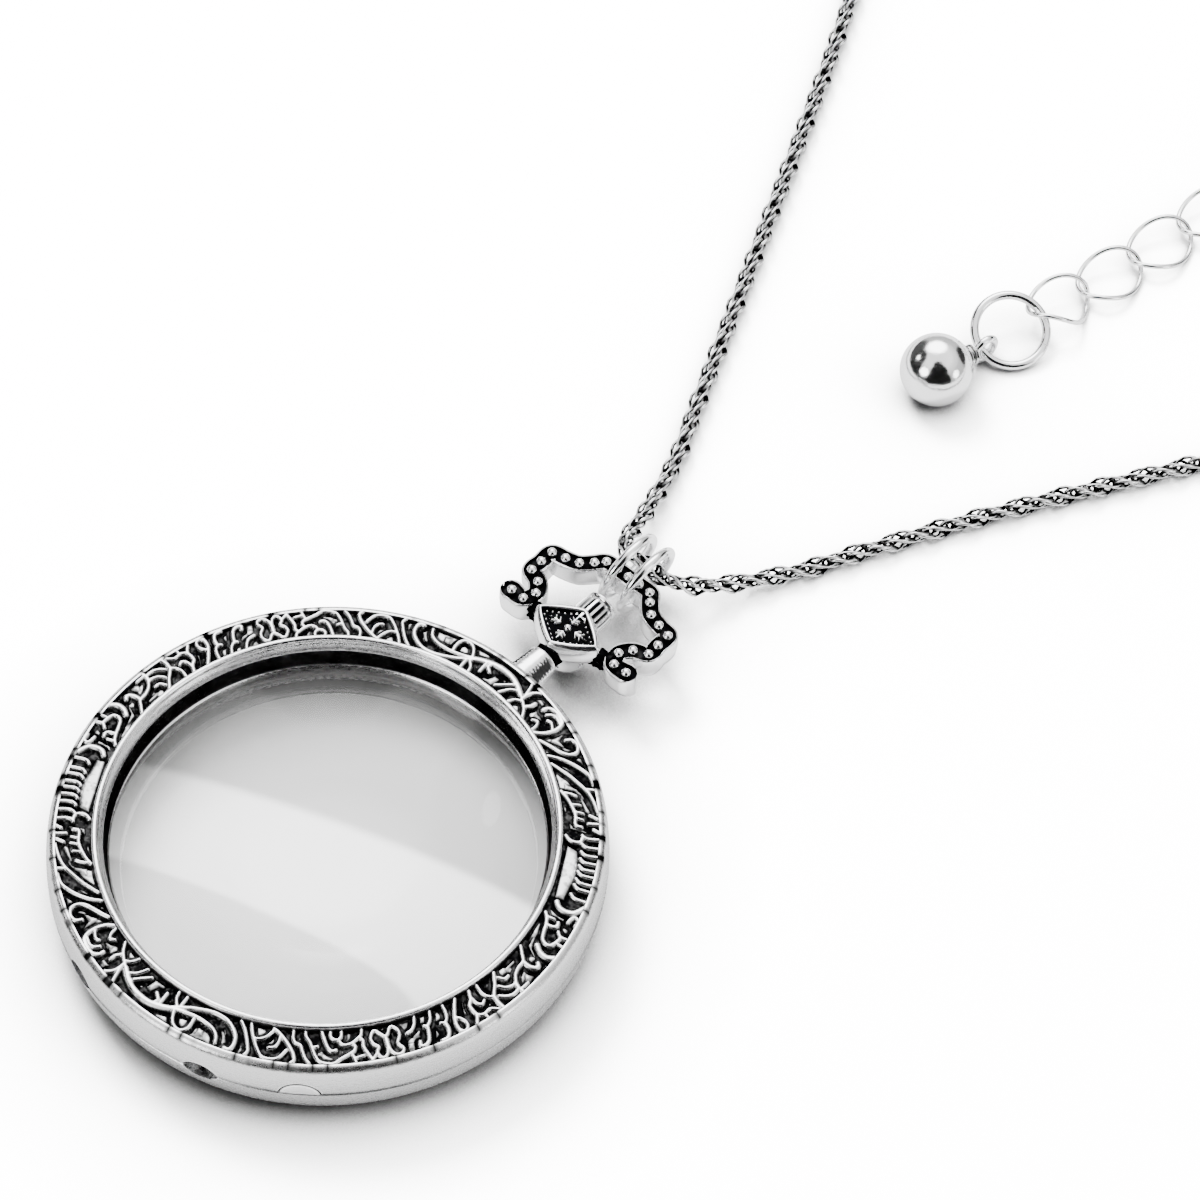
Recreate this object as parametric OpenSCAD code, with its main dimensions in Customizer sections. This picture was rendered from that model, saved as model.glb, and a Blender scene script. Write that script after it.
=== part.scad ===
// Magnifier pendant on a rope chain, lying on a flat surface. Millimetres.

/* [Ring case] */
// Outside diameter of the ring case
case_d = 45; // [44:0.25:46]
// Height of the ornament's inner edge above the flat back
case_h = 8.4; // [8.2:0.1:8.8]
// Height of the seam between the front bezel and the back
seam_h = 5; // [4.8:0.1:5.2]
// Diameter of the clear window
window_d = 34.9; // [34.6:0.1:35.2]

/* [Ornament] */
// Width of the ornamental band
band_w = 2.95; // [2.9:0.05:3]
// Depth of the blackened floor below the ornament's top
relief_h = 0.4; // [0.3:0.05:0.5]
// Width of an ordinary raised line
line_w = 0.3; // [0.26:0.02:0.36]

/* [Lens] */
// Diameter of the lens
lens_d = 36.8; // [36.6:0.1:37]
// Radius of curvature of both faces
lens_curve = 62; // [60:1:70]
// Thickness at the lens's edge
lens_edge = 1.6; // [1.4:0.1:1.7]

/* [Bow] */
// Direction of the bow from the ring's centre, in degrees
bow_turn = 50.5; // [49:0.5:52]
// Width of a beaded arm
arm_w = 1.6; // [1.5:0.05:1.7]
// Height of the arms' underside above the surface
arm_low = 3.3; // [3.2:0.1:3.5]
// Height of the arms' channel above the surface
arm_top = 5.6; // [5.5:0.1:5.7]
// Diameter of one bead on the arms
bead_d = 1.05; // [0.9:0.05:1.1]

/* [Rings and chain] */
// Outside diameter of a jump ring
jump_d = 7; // [6.9:0.05:7.1]
// Wire of a jump ring
jump_wire = 0.85; // [0.8:0.05:0.9]
// Thickness of the rope chain
chain_d = 2; // [1.9:0.05:2.05]

/* [Extender] */
// Diameter of the ball drop
ball_d = 6.5; // [6.2:0.1:6.8]
// Outside diameter of the end ring
end_ring_d = 7.2; // [7.1:0.05:7.3]
// Wire of the end ring
end_ring_wire = 0.7; // [0.6:0.05:0.75]
// Length of an oval link
link_l = 7.2; // [7.15:0.05:7.3]
// Width of an oval link
link_w = 5.3; // [5.2:0.1:5.5]
// Wire of an oval link
link_wire = 0.45; // [0.4:0.05:0.5]
// Distance from link to link
link_step = 6.2; // [6.1:0.05:6.25]

/* [Hidden] */
LINKS = 6;

// Where the ring case's centre lies from the middle of the whole necklace
place = [-72.4, -84.1];

SILVER = [0.78, 0.78, 0.79];
CLEAR = [0.82, 0.87, 0.9];

case_r = case_d / 2;
band_in = case_r - 3.75;
band_out = band_in + band_w;
window_r = window_d / 2;
lens_r = lens_d / 2;
band_drop = 0.26;
fit = 0.2;

// Charted ornament, one half of the ring, repeated on the other half.
// Each row: line width as a share of line_w, then points [degrees round the ring, mm out from the groove].
LINES = [
    [1.2, [[3, 1.45], [3.6, 0.98], [6.5, 1], [9, 0.78], [11.3, 0.5], [13.3, 0.15]]],
    [0.9, [[4.9, 1.6], [5.5, 1.05]]],
    [0.9, [[6.6, 1.65], [7.2, 1]]],
    [0.9, [[8.9, 1.5], [9.3, 0.85]]],
    [1.1, [[11.5, 1.27], [12.1, 0.95], [12.7, 0.45]]],
    [1.1, [[6.5, 2.85], [10, 2.58], [12.5, 2.25], [15, 1.7], [17.5, 1.15], [20, 0.52], [21.7, 0.1]]],
    [1.2, [[12.5, 2.95], [13, 2.3]]],
    [1.2, [[14, 2.87], [16.5, 2.75], [18.5, 2.3], [20.5, 1.7], [22.5, 0.95], [24.2, 0.1]]],
    [1.3, [[26.9, 2.1], [26.4, 2.6], [24.8, 2.8], [23.1, 2.5], [22.9, 1.9], [24, 1.3], [26.5, 0.72], [29.1, 0.13]]],
    [1.1, [[1.7, 2.9], [2.5, 2.4]]],
    [1.2, [[3.8, 2.95], [3.95, 2]]],
    [1.1, [[5.1, 2.8], [6.15, 2.15]]],
    [1.5, [[31.9, 0.1], [30.8, 0.65], [30.35, 1.35], [30.5, 2.05], [31.4, 2.65], [33.3, 2.8], [35.3, 2.72],
        [36.4, 2.35], [36.5, 1.95]]],
    [1.2, [[31.3, 2.4], [33.2, 2.5], [34.3, 2.3], [34.9, 1.9]]],
    [1, [[30.9, 1.6], [32.5, 1.83], [33.5, 1.68]]],
    [1.1, [[32.9, 0.1], [33.4, 0.6], [34.4, 0.92], [35.4, 0.65]]],
    [1.4, [[38.9, 1.8], [38.95, 1.35], [39.5, 0.95]]],
    [1.2, [[37.4, 0.1], [39, 0.65], [41.2, 1.1], [43, 1.4]]],
    [1.9, [[43, 1.4], [45, 1.78], [47.5, 2.1], [50, 2.2], [52.4, 2.18], [55, 1.95], [57.5, 1.6]]],
    [1.2, [[57.5, 1.6], [60.5, 1.3], [63.5, 1.18], [66, 1.28], [68, 1.5], [69.5, 1.95], [70, 2.55]]],
    [1.4, [[57.5, 1.5], [60, 1], [62, 0.65], [65, 0.35], [67.5, 0.25], [70, 0.4], [72, 0.85], [73.5, 1.5],
        [73.8, 2.2], [73.3, 2.7], [72.2, 2.7]]],
    [1.1, [[41.6, 1], [42.7, 0.65], [43.3, 0.1]]],
    [1.1, [[44.6, 1.4], [45.8, 1], [46.9, 0.2]]],
    [1.2, [[46.3, 1.6], [47.6, 1.05], [49.1, 0.5]]],
    [1.3, [[40.5, 2.8], [41.6, 2.3], [41.9, 1.75], [41.8, 1.2]]],
    [1.2, [[43.5, 2.85], [42.7, 2.2], [42, 1.6]]],
    [1.3, [[53.4, 2.1], [53.9, 1.6], [52.6, 1.2]]],
    [1.2, [[54.8, 1.95], [54.6, 0.75]]],
    [1.2, [[58.4, 1.6], [59.3, 2.25], [60.4, 2.65], [61.9, 2.78], [63.1, 2.45], [63.4, 1.9], [63.3, 1.3]]],
    [1.1, [[56.7, 0.1], [57, 0.6], [57.9, 1], [58.6, 1.3]]],
    [1.1, [[59.1, 0.1], [59.1, 1.1]]],
    [1.1, [[76.5, 2.9], [77.1, 2.45], [76.9, 2.15], [76.1, 1.45], [74.9, 0.7], [73.5, 0.12]]],
    [1.1, [[76, 0.12], [76.8, 0.78], [77.6, 1.3], [78.8, 2], [80.2, 2.6], [82, 2.7], [83.7, 2.5], [85.1, 1.8]]],
    [1, [[77.5, 1.25], [79, 1.18], [80.3, 0.88], [81.4, 0.35]]],
    [1.3, [[81.5, 0.12], [82.6, 0.36], [84.1, 0.83], [85.4, 1.35], [86.6, 2], [87, 2.55], [86.3, 2.88]]],
    [1, [[83.3, 0.7], [83.1, 1.25], [82.4, 1.66], [81.2, 1.78]]],
    [1.1, [[86.1, 0.12], [86.15, 0.65], [86.8, 1.08], [88, 1.28], [88.6, 1.8], [89.3, 2.35], [90.2, 2.75]]],
    [1.1, [[88.9, 0.12], [89.1, 0.5], [90, 0.95], [90.6, 1.45], [91.3, 2.05], [92.2, 2.55], [93.5, 2.75]]],
    [1, [[90.6, 1.45], [91.8, 1.3]]],
    [1.2, [[93.5, 2.75], [95.2, 2.78], [96.7, 2.42], [98.3, 2.12], [99.6, 1.85], [100, 1.5], [99.5, 1.2]]],
    [1.1, [[99.2, 2.1], [99.6, 2.5], [99.9, 2.95]]],
    [1, [[99.7, 2.45], [101.6, 2.3]]],
    [1.2, [[92.7, 0.12], [93.2, 0.7], [94, 1.4], [94.9, 1.72], [95.8, 1.65]]],
    [1.1, [[94.7, 0.12], [94.7, 0.5], [95.5, 0.76], [96.4, 0.78], [97.1, 0.52], [97.2, 0.12]]],
    [1.1, [[96.4, 0.8], [97, 1.13], [98, 1.28], [99.4, 1.15], [100.8, 0.8], [101.6, 0.55], [101.9, 0.12]]],
    [1.2, [[101.1, 0.75], [101.8, 1.05], [101.8, 1.6], [102.5, 2.2], [103.1, 2.7], [103.2, 2.95]]],
    [1.1, [[107, 1.85], [106.5, 2.5], [105.6, 2.78], [104.8, 2.55], [104.5, 2.15], [105, 1.8], [104, 1.45],
        [103.6, 1.05], [104.1, 0.55], [104.9, 0.38], [106, 0.75], [106.9, 1.08]]],
    [1.1, [[107, 1.85], [107.6, 2.45], [108.6, 2.75], [109.7, 2.65], [110, 2.3], [109.2, 1.8], [110, 1.25],
        [110, 0.75], [109, 0.34], [108.2, 0.45], [107.6, 0.85], [106.9, 1.08]]],
    [1.6, [[107, 1.9], [106.95, 1.3]]],
    [1, [[103.2, 2.8], [104.6, 2.2]]],
    [1.1, [[111.6, 1.25], [113, 1.08], [114, 0.65], [114.6, 0.12]]],
    [1.3, [[113.8, 2.25], [113.6, 2.6], [114.7, 2.65], [115.7, 2.35], [116.3, 1.75], [116.6, 1.2]]],
    [1.1, [[115.9, 1.1], [116.6, 1.2], [117.8, 0.78], [118.5, 0.12]]],
    [1.4, [[118.2, 2.8], [119.5, 2.75], [120.4, 2.25], [120.5, 1.6]]],
    [1.1, [[119.6, 1.4], [120.5, 1.5], [121.4, 1.15], [121.8, 0.6], [121.9, 0.12]]],
    [1.3, [[122.5, 2.75], [122.4, 2.1], [123, 1.45], [124.2, 0.67], [125.3, 0.12]]],
    [1.1, [[122.6, 2.6], [123.3, 2.85], [124.3, 2.65], [124.5, 2.2], [123.9, 1.75], [123.1, 1.55]]],
    [1.3, [[126.3, 2.8], [127.3, 2.2], [127.2, 1.7], [127.3, 1.2], [128.4, 0.8], [129.2, 0.15]]],
    [1.1, [[128.7, 0.8], [129, 1.38], [129.8, 1.65], [130.7, 1.48]]],
    [1.1, [[127.4, 2.15], [128.7, 2.42], [130.5, 2.32], [132, 2.75]]],
    [1, [[129, 2.9], [129, 2.4]]],
    [1.5, [[133, 2.9], [132.8, 2.3], [133, 1.7]]],
    [1.3, [[133, 1.7], [134, 1.3], [135.2, 0.9], [136.1, 0.5], [137, 0.12]]],
    [1.1, [[133, 1.7], [131.9, 1.35], [131.4, 0.8], [131.6, 0.12]]],
    [1.2, [[134, 1.9], [135, 2.25], [136.5, 2.5], [138.3, 2.45]]],
    [1.5, [[138.5, 2.9], [138.4, 2.4], [138.9, 1.9]]],
    [1.1, [[135.5, 1.25], [136.5, 1.7], [138, 1.93], [139, 1.9]]],
    [1.2, [[139, 1.9], [140.2, 1.45], [142, 1.18], [144, 1.1], [145.3, 0.65], [146.8, 0.12]]],
    [1.5, [[143.9, 1.15], [143.9, 1.7], [144.4, 2.15], [145.2, 2.28], [145.7, 2.1]]],
    [1.1, [[136.9, 0.65], [137.7, 1.07], [138.9, 1.1]]],
    [1, [[138.9, 2.6], [140.8, 2.6]]],
    [1.8, [[148.8, 2.85], [148, 2.3], [148.2, 1.65], [149.3, 1.12]]],
    [1.3, [[153.6, 2.33], [152, 2.2], [150.8, 1.95], [150.7, 1.5], [151.5, 1.15], [153.2, 0.93], [155, 0.78],
        [156.8, 0.55], [158, 0.25]]],
    [1, [[152, 2.9], [152, 2.3]]],
    [1.2, [[154, 2.9], [153.8, 2.3], [154.7, 1.92]]],
    [1.3, [[155.1, 0.85], [155.3, 1.35], [155.9, 1.6], [156.8, 1.55]]],
    [1, [[157.2, 1.15], [157.1, 0.6]]],
    [1.2, [[157.6, 2.85], [159.2, 2.85], [159.6, 2.55], [159, 2.32], [157.8, 2.2]]],
    [1.7, [[162.6, 2.9], [161.3, 2.55], [160.4, 2.15], [160.2, 1.5], [160.7, 1], [161.8, 0.7]]],
    [1.3, [[180.4, 1.55], [179, 1.38], [178.8, 0.85], [179.4, 0.45], [180.4, 0.2]]]
];

// The ladder's ribs: where each one starts, in degrees
RIBS = [164, 166.6, 168.2, 170.2, 171.8, 173.6, 175.5, 177.6, 179.9];
RIB = [[0, 2.92], [0, 2.05], [0.35, 1.7], [0.9, 1.5]];
rib_w = 1.15;

// Low flat leaves between the lines, each an outline of [degrees, mm out].
LEAVES = [
    [[6.5, 2.1], [7.3, 2.33], [11.7, 1.75], [11.2, 1.5], [7.3, 1.75]],
    [[12.6, 1.6], [13.6, 1.6], [16.8, 0.5], [13.9, 0.4]],
    [[1.5, 1.9], [2.3, 1.9], [3.2, 0.85], [5.5, 0.45], [2.6, 0.45]],
    [[19.5, 2.7], [21.9, 2.7], [22, 2.2], [21.2, 2.15]],
    [[24.6, 1.9], [27.5, 1.75], [29.2, 2.55], [28.8, 0.95], [27.8, 0.85]],
    [[33.6, 1.35], [35.2, 1.5], [37.3, 1.45], [36.5, 0.7], [35.9, 0.95]],
    [[37.6, 2.5], [39.4, 2.65], [40.3, 2.05], [39.6, 2.1], [37.6, 2.1]],
    [[49.3, 1.35], [51.2, 1.4], [52, 0.7], [53.6, 0.5], [52.8, 0.25], [49.8, 0.25]],
    [[64.6, 2.6], [67.2, 2.45], [66.7, 1.8], [65, 1.7]],
    [[70, 1], [71.4, 1.9], [71.6, 1.45], [70.4, 0.9]],
    [[91.5, 2], [93.5, 2.3], [93, 1.75], [91.8, 1.6]],
    [[110.8, 2.6], [112.6, 2.65], [113, 1.9], [111, 1.9]],
    [[112.5, 1.92], [114.5, 1.65], [115.1, 1.3], [114.6, 1.1], [112.6, 1.5]],
    [[116.9, 2.5], [118.6, 2.2], [118.3, 1.6], [117.7, 1.7]],
    [[125.1, 1.5], [125.9, 1.8], [126.2, 1.1], [127, 0.5], [126.2, 0.55]],
    [[140.6, 2.3], [141.4, 2.7], [143.2, 2.6], [142.4, 1.75], [141.2, 1.85]],
    [[139, 0.45], [139.6, 0.78], [142.8, 0.68], [143.6, 0.35], [140, 0.3]],
    [[146.2, 1.6], [146.9, 1.65], [148.2, 0.98], [151.5, 0.6], [151, 0.35], [148, 0.45]],
    [[163.4, 0.42], [163, 1.15], [165.8, 1.08], [169.2, 1.25], [173, 1.3], [177, 1.1], [178, 0.42]]
];
leaf_h = 0.2;

function polar(a, r) = [r * cos(a), r * sin(a)];
function on_band(p) = polar(p[0], band_in + p[1]);
function unit(v) = v / norm(v);
function across(v) = [-v[1], v[0]];
function last(list) = list[len(list) - 1];

// Direction of a line at point i, the mean of its two neighbouring stretches
function along(pts, i) = unit(pts[min(i + 1, len(pts) - 1)] - pts[max(i - 1, 0)]);
function side(pts, w) = [for (i = [0:len(pts) - 1]) pts[i] + across(along(pts, i)) * w / 2];
function reversed(list) = [for (i = [len(list) - 1:-1:0]) list[i]];
function ribbon(pts, w) = concat(side(pts, w), reversed(side(pts, -w)));

// Points on a circular arc, for turned outlines
function arc(c, r, from, to, steps) =
    [for (i = [0:steps]) c + r * [cos(from + (to - from) * i / steps), sin(from + (to - from) * i / steps)]];

// A smooth curve through route points, with a few steps in each stretch
function spline(a, b, c, d, t) =
    0.5 * (2 * b + (c - a) * t + (2 * a - 5 * b + 4 * c - d) * t * t + (3 * b - a - 3 * c + d) * t * t * t);
function smooth(p, steps) = concat([for (i = [0:len(p) - 2]) for (k = [0:steps - 1])
    spline(p[max(i - 1, 0)], p[i], p[i + 1], p[min(i + 2, len(p) - 1)], k / steps)], [last(p)]);

// Wall between two rings of points, in triangles
function band(from, to, sides) = [for (k = [0:sides - 1]) let (m = (k + 1) % sides)
    each [[from + k, to + k, to + m], [from + k, to + m, from + m]]];

// A round tube along a path that keeps its rings upright
module tube(path, r, sides) {
    n = len(path);
    rings = [for (i = [0:n - 1]) let (
        d = unit(path[min(i + 1, n - 1)] - path[max(i - 1, 0)]),
        x = unit(cross([0, 0, 1], d)),
        y = cross(d, x)
    ) for (k = [0:sides - 1]) let (a = 360 * (k + 0.5) / sides) path[i] + r * (cos(a) * x + sin(a) * y)];
    walls = [for (i = [0:n - 2]) each band(i * sides, (i + 1) * sides, sides)];
    ends = [[for (k = [0:sides - 1]) k], [for (k = [sides - 1:-1:0]) (n - 1) * sides + k]];
    polyhedron(points = rings, faces = concat(walls, ends));
}

// A closed loop of round wire along a ring of points
module wire_loop(path, r, sides) {
    n = len(path);
    rings = [for (i = [0:n - 1]) let (
        d = unit(path[(i + 1) % n] - path[(i + n - 1) % n]),
        x = unit(cross([0, 0, 1], d)),
        y = cross(d, x)
    ) for (k = [0:sides - 1]) let (a = 360 * k / sides) path[i] + r * (cos(a) * x + sin(a) * y)];
    walls = [for (i = [0:n - 1]) each band(i * sides, (i + 1) % n * sides, sides)];
    polyhedron(points = rings, faces = walls);
}

module torus(d, wire) rotate_extrude($fn = 64) translate([(d - wire) / 2, 0]) circle(d = wire, $fn = 24);

// The ring case
side_arc_r = 16;
side_arc = [case_r - side_arc_r, seam_h];
rim_top = case_h + 0.35;
outer_edge = case_h - band_drop;
floor_in = case_h - relief_h;
floor_out = outer_edge - relief_h;
seam_v = 0.06;

// Front half of the side, down to the seam
function front_side() = arc(side_arc, side_arc_r, 9.6, 0.6, 3);

// Back half of the side, down to the flat back
function back_side() = concat(
    arc([case_r - 6, seam_h], 6, -0.6, -38, 3),
    arc([case_r - 3.4, 2.2], 2.2, -30, -90, 4));

front_outline = concat(
    [[window_r, case_h - 2.45], [window_r + 0.12, case_h - 2.4], [band_in - 0.85, case_h - 0.45],
        [band_in - 0.5, case_h + 0.12], [band_in - 0.46, case_h + 0.24], [band_in - 0.38, rim_top],
        [band_in - 0.12, rim_top], [band_in, case_h + 0.1], [band_in + 0.05, floor_in],
        [band_out - 0.12, floor_out], [band_out - 0.1, outer_edge], [band_out + 0.05, outer_edge]],
    front_side(),
    [[case_r - seam_v, seam_h], [lens_r + fit, seam_h], [lens_r + fit, case_h - 2.8],
        [window_r + 0.1, case_h - 2.55]]);

back_outline = concat(
    [[lens_r + fit, seam_h], [case_r - seam_v, seam_h]],
    back_side(),
    [[18.2, 0], [17.6, 0.5], [window_r, 3.2], [lens_r - 0.6, seam_h - 1.45], [lens_r + fit, seam_h - 1.3]]);

module line(row, w) linear_extrude(case_h - floor_out + 0.1)
    polygon(ribbon([for (p = row) on_band(p)], w));

module leaf(row) translate([0, 0, floor_out - 0.1]) linear_extrude(leaf_h + 0.1)
    polygon([for (p = row) on_band(p)]);

// The raised lines of one half, cut level with the band's sloping top
module half_ornament() intersection() {
    translate([0, 0, floor_out - 0.1]) union() {
        for (row = LINES) line(row[1], row[0] * line_w);
        for (a = RIBS) line([for (p = RIB) [a + p[0], p[1]]], rib_w * line_w);
    }
    rotate_extrude($fn = 120) polygon([[band_in + 0.02, floor_out - 1], [band_out + 0.02, floor_out - 1],
        [band_out + 0.02, outer_edge], [band_in + 0.02, case_h]]);
}

// Pointed hole on the seam, a lens shape between two arcs
hole_l = 3.2;
hole_h = 1.9;
// The holes' tips lie just above the seam
hole_z = seam_h + 0.1;
hole_r = (hole_l * hole_l / 4 + hole_h * hole_h / 4) / hole_h;
HOLES = [-112.3, -146.1];

module radial(angle, r, from, to, z) rotate(angle) translate([from, 0, z]) rotate([0, 90, 0])
    cylinder(r = r, h = to - from, $fn = 48);

module seam_hole(angle) intersection() {
    radial(angle, hole_r, case_r - 1.6, case_r + 1, hole_z + hole_r - hole_h / 2);
    radial(angle, hole_r, case_r - 1.6, case_r + 1, hole_z - hole_r + hole_h / 2);
}

// Small tab of the back that stands up into the bezel
tab_turn = -91.7;
tab_r = 1.65;
tab_low = 0.3;
tab_deep = 1.1;

module tab() intersection() {
    radial(tab_turn, tab_r, case_r - tab_deep, case_r + 1, seam_h - tab_low);
    rotate_extrude($fn = 120) polygon(concat([[case_r - tab_deep, seam_h - 0.5], [case_r - 0.1, seam_h - 0.5]],
        reversed(front_side()), [[case_r - tab_deep, outer_edge - 1]]));
}

module front_bezel() color(SILVER) difference() {
    union() {
        rotate_extrude($fn = 120) polygon(front_outline);
        for (half = [0, 180]) rotate(half) {
            half_ornament();
            for (row = LEAVES) leaf(row);
        }
    }
    for (a = HOLES) seam_hole(a);
    radial(tab_turn, tab_r + 0.12, case_r - tab_deep - 0.1, case_r + 1, seam_h - tab_low);
}

module back_case() color(SILVER) union() {
    difference() {
        rotate_extrude($fn = 120) polygon(back_outline);
        for (a = HOLES) seam_hole(a);
    }
    tab();
}

lens_mid = 4.6;
lens_drop = sqrt(lens_curve * lens_curve - lens_r * lens_r);
lens_turn = asin(lens_r / lens_curve);

module lens() color(CLEAR) rotate_extrude($fn = 120) polygon(concat(
    arc([0, lens_mid - lens_edge / 2 + lens_drop], lens_curve, -90, -90 + lens_turn, 8),
    arc([0, lens_mid + lens_edge / 2 - lens_drop], lens_curve, 90 - lens_turn, 90, 8)));

// The bow, with x outwards from the ring's centre and y across
plaque_x = 28.8;
plaque_top = 6.4;
plaque_low = 4.4;
plaque_half = [2.4, 3.2];
recess_half = [2.0, 2.95];
recess_deep = 0.5;
stem_z = 4.65;
barrel_z = 4.75;
barrel_r = 1.4;

// Bead places along one arm: outwards, across
ARM = [
    [28.7, 6.4], [28.6, 5.1], [29.6, 4.5], [30.9, 5.2], [31.6, 6.4], [32.8, 6.5],
    [34, 6.4], [34.4, 5.2], [34.8, 4], [35.6, 3.1], [36.4, 2.2], [36.5, 1.1]
];

module rhombus(half, r, h) linear_extrude(h) hull() {
    for (s = [-1, 1]) {
        translate([s * (half[0] - r), 0]) circle(r = r, $fn = 20);
        translate([0, s * (half[1] - r)]) circle(r = r, $fn = 20);
    }
}

module post(p) translate([p[0], p[1], arm_low]) cylinder(d = arm_w, h = arm_top - arm_low, $fn = 14);

module arm(flip) {
    pts = [for (p = concat(ARM, [[36.5, 0]])) [p[0], flip * p[1]]];
    for (i = [0:len(pts) - 2]) hull() {
        post(pts[i]);
        post(pts[i + 1]);
    }
    for (p = pts) translate([p[0], p[1], arm_top]) sphere(d = bead_d, $fn = 10);
    // The neck from the plaque to the arm's curl
    hull() {
        translate([plaque_x - 0.2, flip * 2, arm_low + 0.3]) cylinder(r = 0.8, h = 1.9, $fn = 12);
        translate([plaque_x + 0.2, flip * 4.4, arm_low + 0.3]) cylinder(r = 0.7, h = 1.7, $fn = 12);
    }
}

// Four pointed petals: turn, and how far the broad part and the tip lie from the middle
PETALS = [[0, 0.9, 1.55], [90, 1.4, 2.35], [180, 0.9, 1.55], [270, 1.4, 2.35]];
petal_h = 0.35;

module petal(broad, tip) hull() {
    translate([0.3, 0]) cylinder(r = 0.12, h = petal_h, $fn = 10);
    translate([broad, 0]) cylinder(r = 0.42, h = petal_h, $fn = 12);
    translate([tip, 0]) cylinder(r = 0.08, h = petal_h, $fn = 10);
}
module flower() for (p = PETALS) rotate(p[0]) petal(p[1], p[2]);

module plaque() translate([plaque_x, 0, 0]) {
    difference() {
        hull() {
            translate([0, 0, plaque_low]) rhombus([2.6, 3.5], 0.6, plaque_top - plaque_low - 0.5);
            translate([0, 0, plaque_top - 0.1]) rhombus(plaque_half, 0.5, 0.1);
        }
        translate([0, 0, plaque_top - recess_deep]) rhombus(recess_half, 0.1, recess_deep + 1);
    }
    translate([0, 0, plaque_top - recess_deep]) flower();
    translate([0, 0, plaque_top - recess_deep + 0.15]) sphere(r = 0.36, $fn = 12);
    translate([0, 0, 2.6]) cylinder(r1 = 1.9, r2 = 2.3, h = plaque_low - 2.6 + 0.3, $fn = 28);
}

module barrel() translate([30, 0, barrel_z]) rotate([0, 90, 0]) {
    cylinder(r = barrel_r - 0.15, h = 3.3, $fn = 24);
    for (k = [0:11]) rotate(30 * k) hull() {
        translate([barrel_r - 0.2, 0, 0.6]) cylinder(r = 0.24, h = 0.2, $fn = 8);
        translate([barrel_r, 0, 1.8]) cylinder(r = 0.26, h = 0.6, $fn = 8);
        translate([barrel_r - 0.12, 0, 3]) cylinder(r = 0.24, h = 0.2, $fn = 8);
    }
}

module stem() translate([case_r - 1.2, 0, stem_z]) rotate([0, 90, 0]) {
    cylinder(r1 = 1.85, r2 = 1.35, h = 5.2, $fn = 32);
    translate([0, 0, 5.1]) cylinder(r = 1.6, h = 0.5, $fn = 32);
    translate([0, 0, 5.5]) cylinder(r = 1.4, h = 2, $fn = 32);
}

module at_case() translate([place[0], place[1], 0]) children();
module at_bow() at_case() rotate(bow_turn) children();

module bow() color(SILVER) difference() {
    union() {
        arm(1);
        arm(-1);
        plaque();
        barrel();
        stem();
    }
    rotate_extrude($fn = 120) polygon([[0, 0], [case_r + 0.02, 0], [case_r + 0.02, case_h], [0, case_h]]);
}

// The jump rings, upright round the top bar and leaning over a little
jump_x = 37.7;
jump_lean = 11.5;

module jump_ring(y, z) color(SILVER) translate([jump_x, y, z]) rotate([90 + jump_lean, 0, 0])
    torus(jump_d, jump_wire);

// The chain's route on the surface, in the bow's directions: outwards, across, height.
chain_z = chain_d / 2;
cap_z = 1.25;
RISE = 4.6;
LEFT = [
    [39.1, 0.25, RISE], [39.15, 2.3, RISE - 0.2], [41.4, 4, 3], [46, 5.5, 1.6], [52, 7.6, chain_z],
    [58, 10.3, chain_z], [76, 18.3, chain_z], [98, 28.2, chain_z], [125, 41, chain_z], [155, 52, chain_z],
    [185, 54, chain_z], [208, 45, chain_z], [218, 29, chain_z], [209, 13, chain_z], [191, 5, chain_z],
    [172, -1.2, chain_z], [156, -7, chain_z], [142.4, -9.6, cap_z]
];
RIGHT = [
    [39.1, -0.25, RISE], [39, -1.8, RISE - 0.1], [41, -3.6, 3], [45, -5.8, 1.6], [50, -8.6, chain_z],
    [54, -10.6, chain_z], [66, -17, chain_z], [82, -26.5, chain_z], [105, -40, chain_z], [135, -55, chain_z],
    [165, -62, chain_z], [190, -58, chain_z], [202, -46, chain_z], [195, -34, chain_z],
    [178, -30, chain_z], [159, -29.5, chain_z], [141.5, -24.5, chain_z], [128.65, -16.95, cap_z]
];

module chain(route) color(SILVER) tube(smooth(route, 2), chain_d / 2, 8);

// The extender's own direction, starting at the ball
EXTENDER = [73.3, -4];
extender_turn = -10.5;
module at_extender() at_bow() translate([EXTENDER[0], EXTENDER[1], 0]) rotate(extender_turn) children();

// The ball lies with its neck sloping down until the eye touches the surface
ball_z = ball_d / 2;
EYE = [6, 0.2, 1.55];
EYE_RING = [3, 0.7];
neck_slope = atan((ball_z - EYE[2]) / EYE[0]);
neck_r = 0.75;

module ball_drop() color(SILVER) union() {
    translate([0, 0, ball_z]) sphere(d = ball_d, $fn = 48);
    translate([0, 0, ball_z]) rotate([0, 90 + neck_slope, atan(EYE[1] / EYE[0])]) {
        cylinder(r = neck_r, h = 4.8, $fn = 24);
        for (h = [3.35, 3.85, 4.35]) translate([0, 0, h]) cylinder(r = neck_r + 0.2, h = 0.32, $fn = 24);
    }
    translate(EYE) rotate([90, 0, 0]) torus(EYE_RING[0], EYE_RING[1]);
}

// The end ring leans on the eye and is lifted by the first link
END_RING = [9.05, 0.2, 1.95];
end_ring_lean = [22, -11.5];

module end_ring() color(SILVER) translate(END_RING) rotate([0, end_ring_lean[1], 0]) rotate([end_ring_lean[0], 0, 0])
    torus(end_ring_d, end_ring_wire);

// Each link is an oval twisted a little from end to end, so the row lies flat and still interlocks.
first_link_x = 14.9;
link_z = 1.2;
link_lean = 12;
link_twist = 27;
first_link_z = 1.85;
first_link_slope = 12;
first_link_twist = 42;

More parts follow.
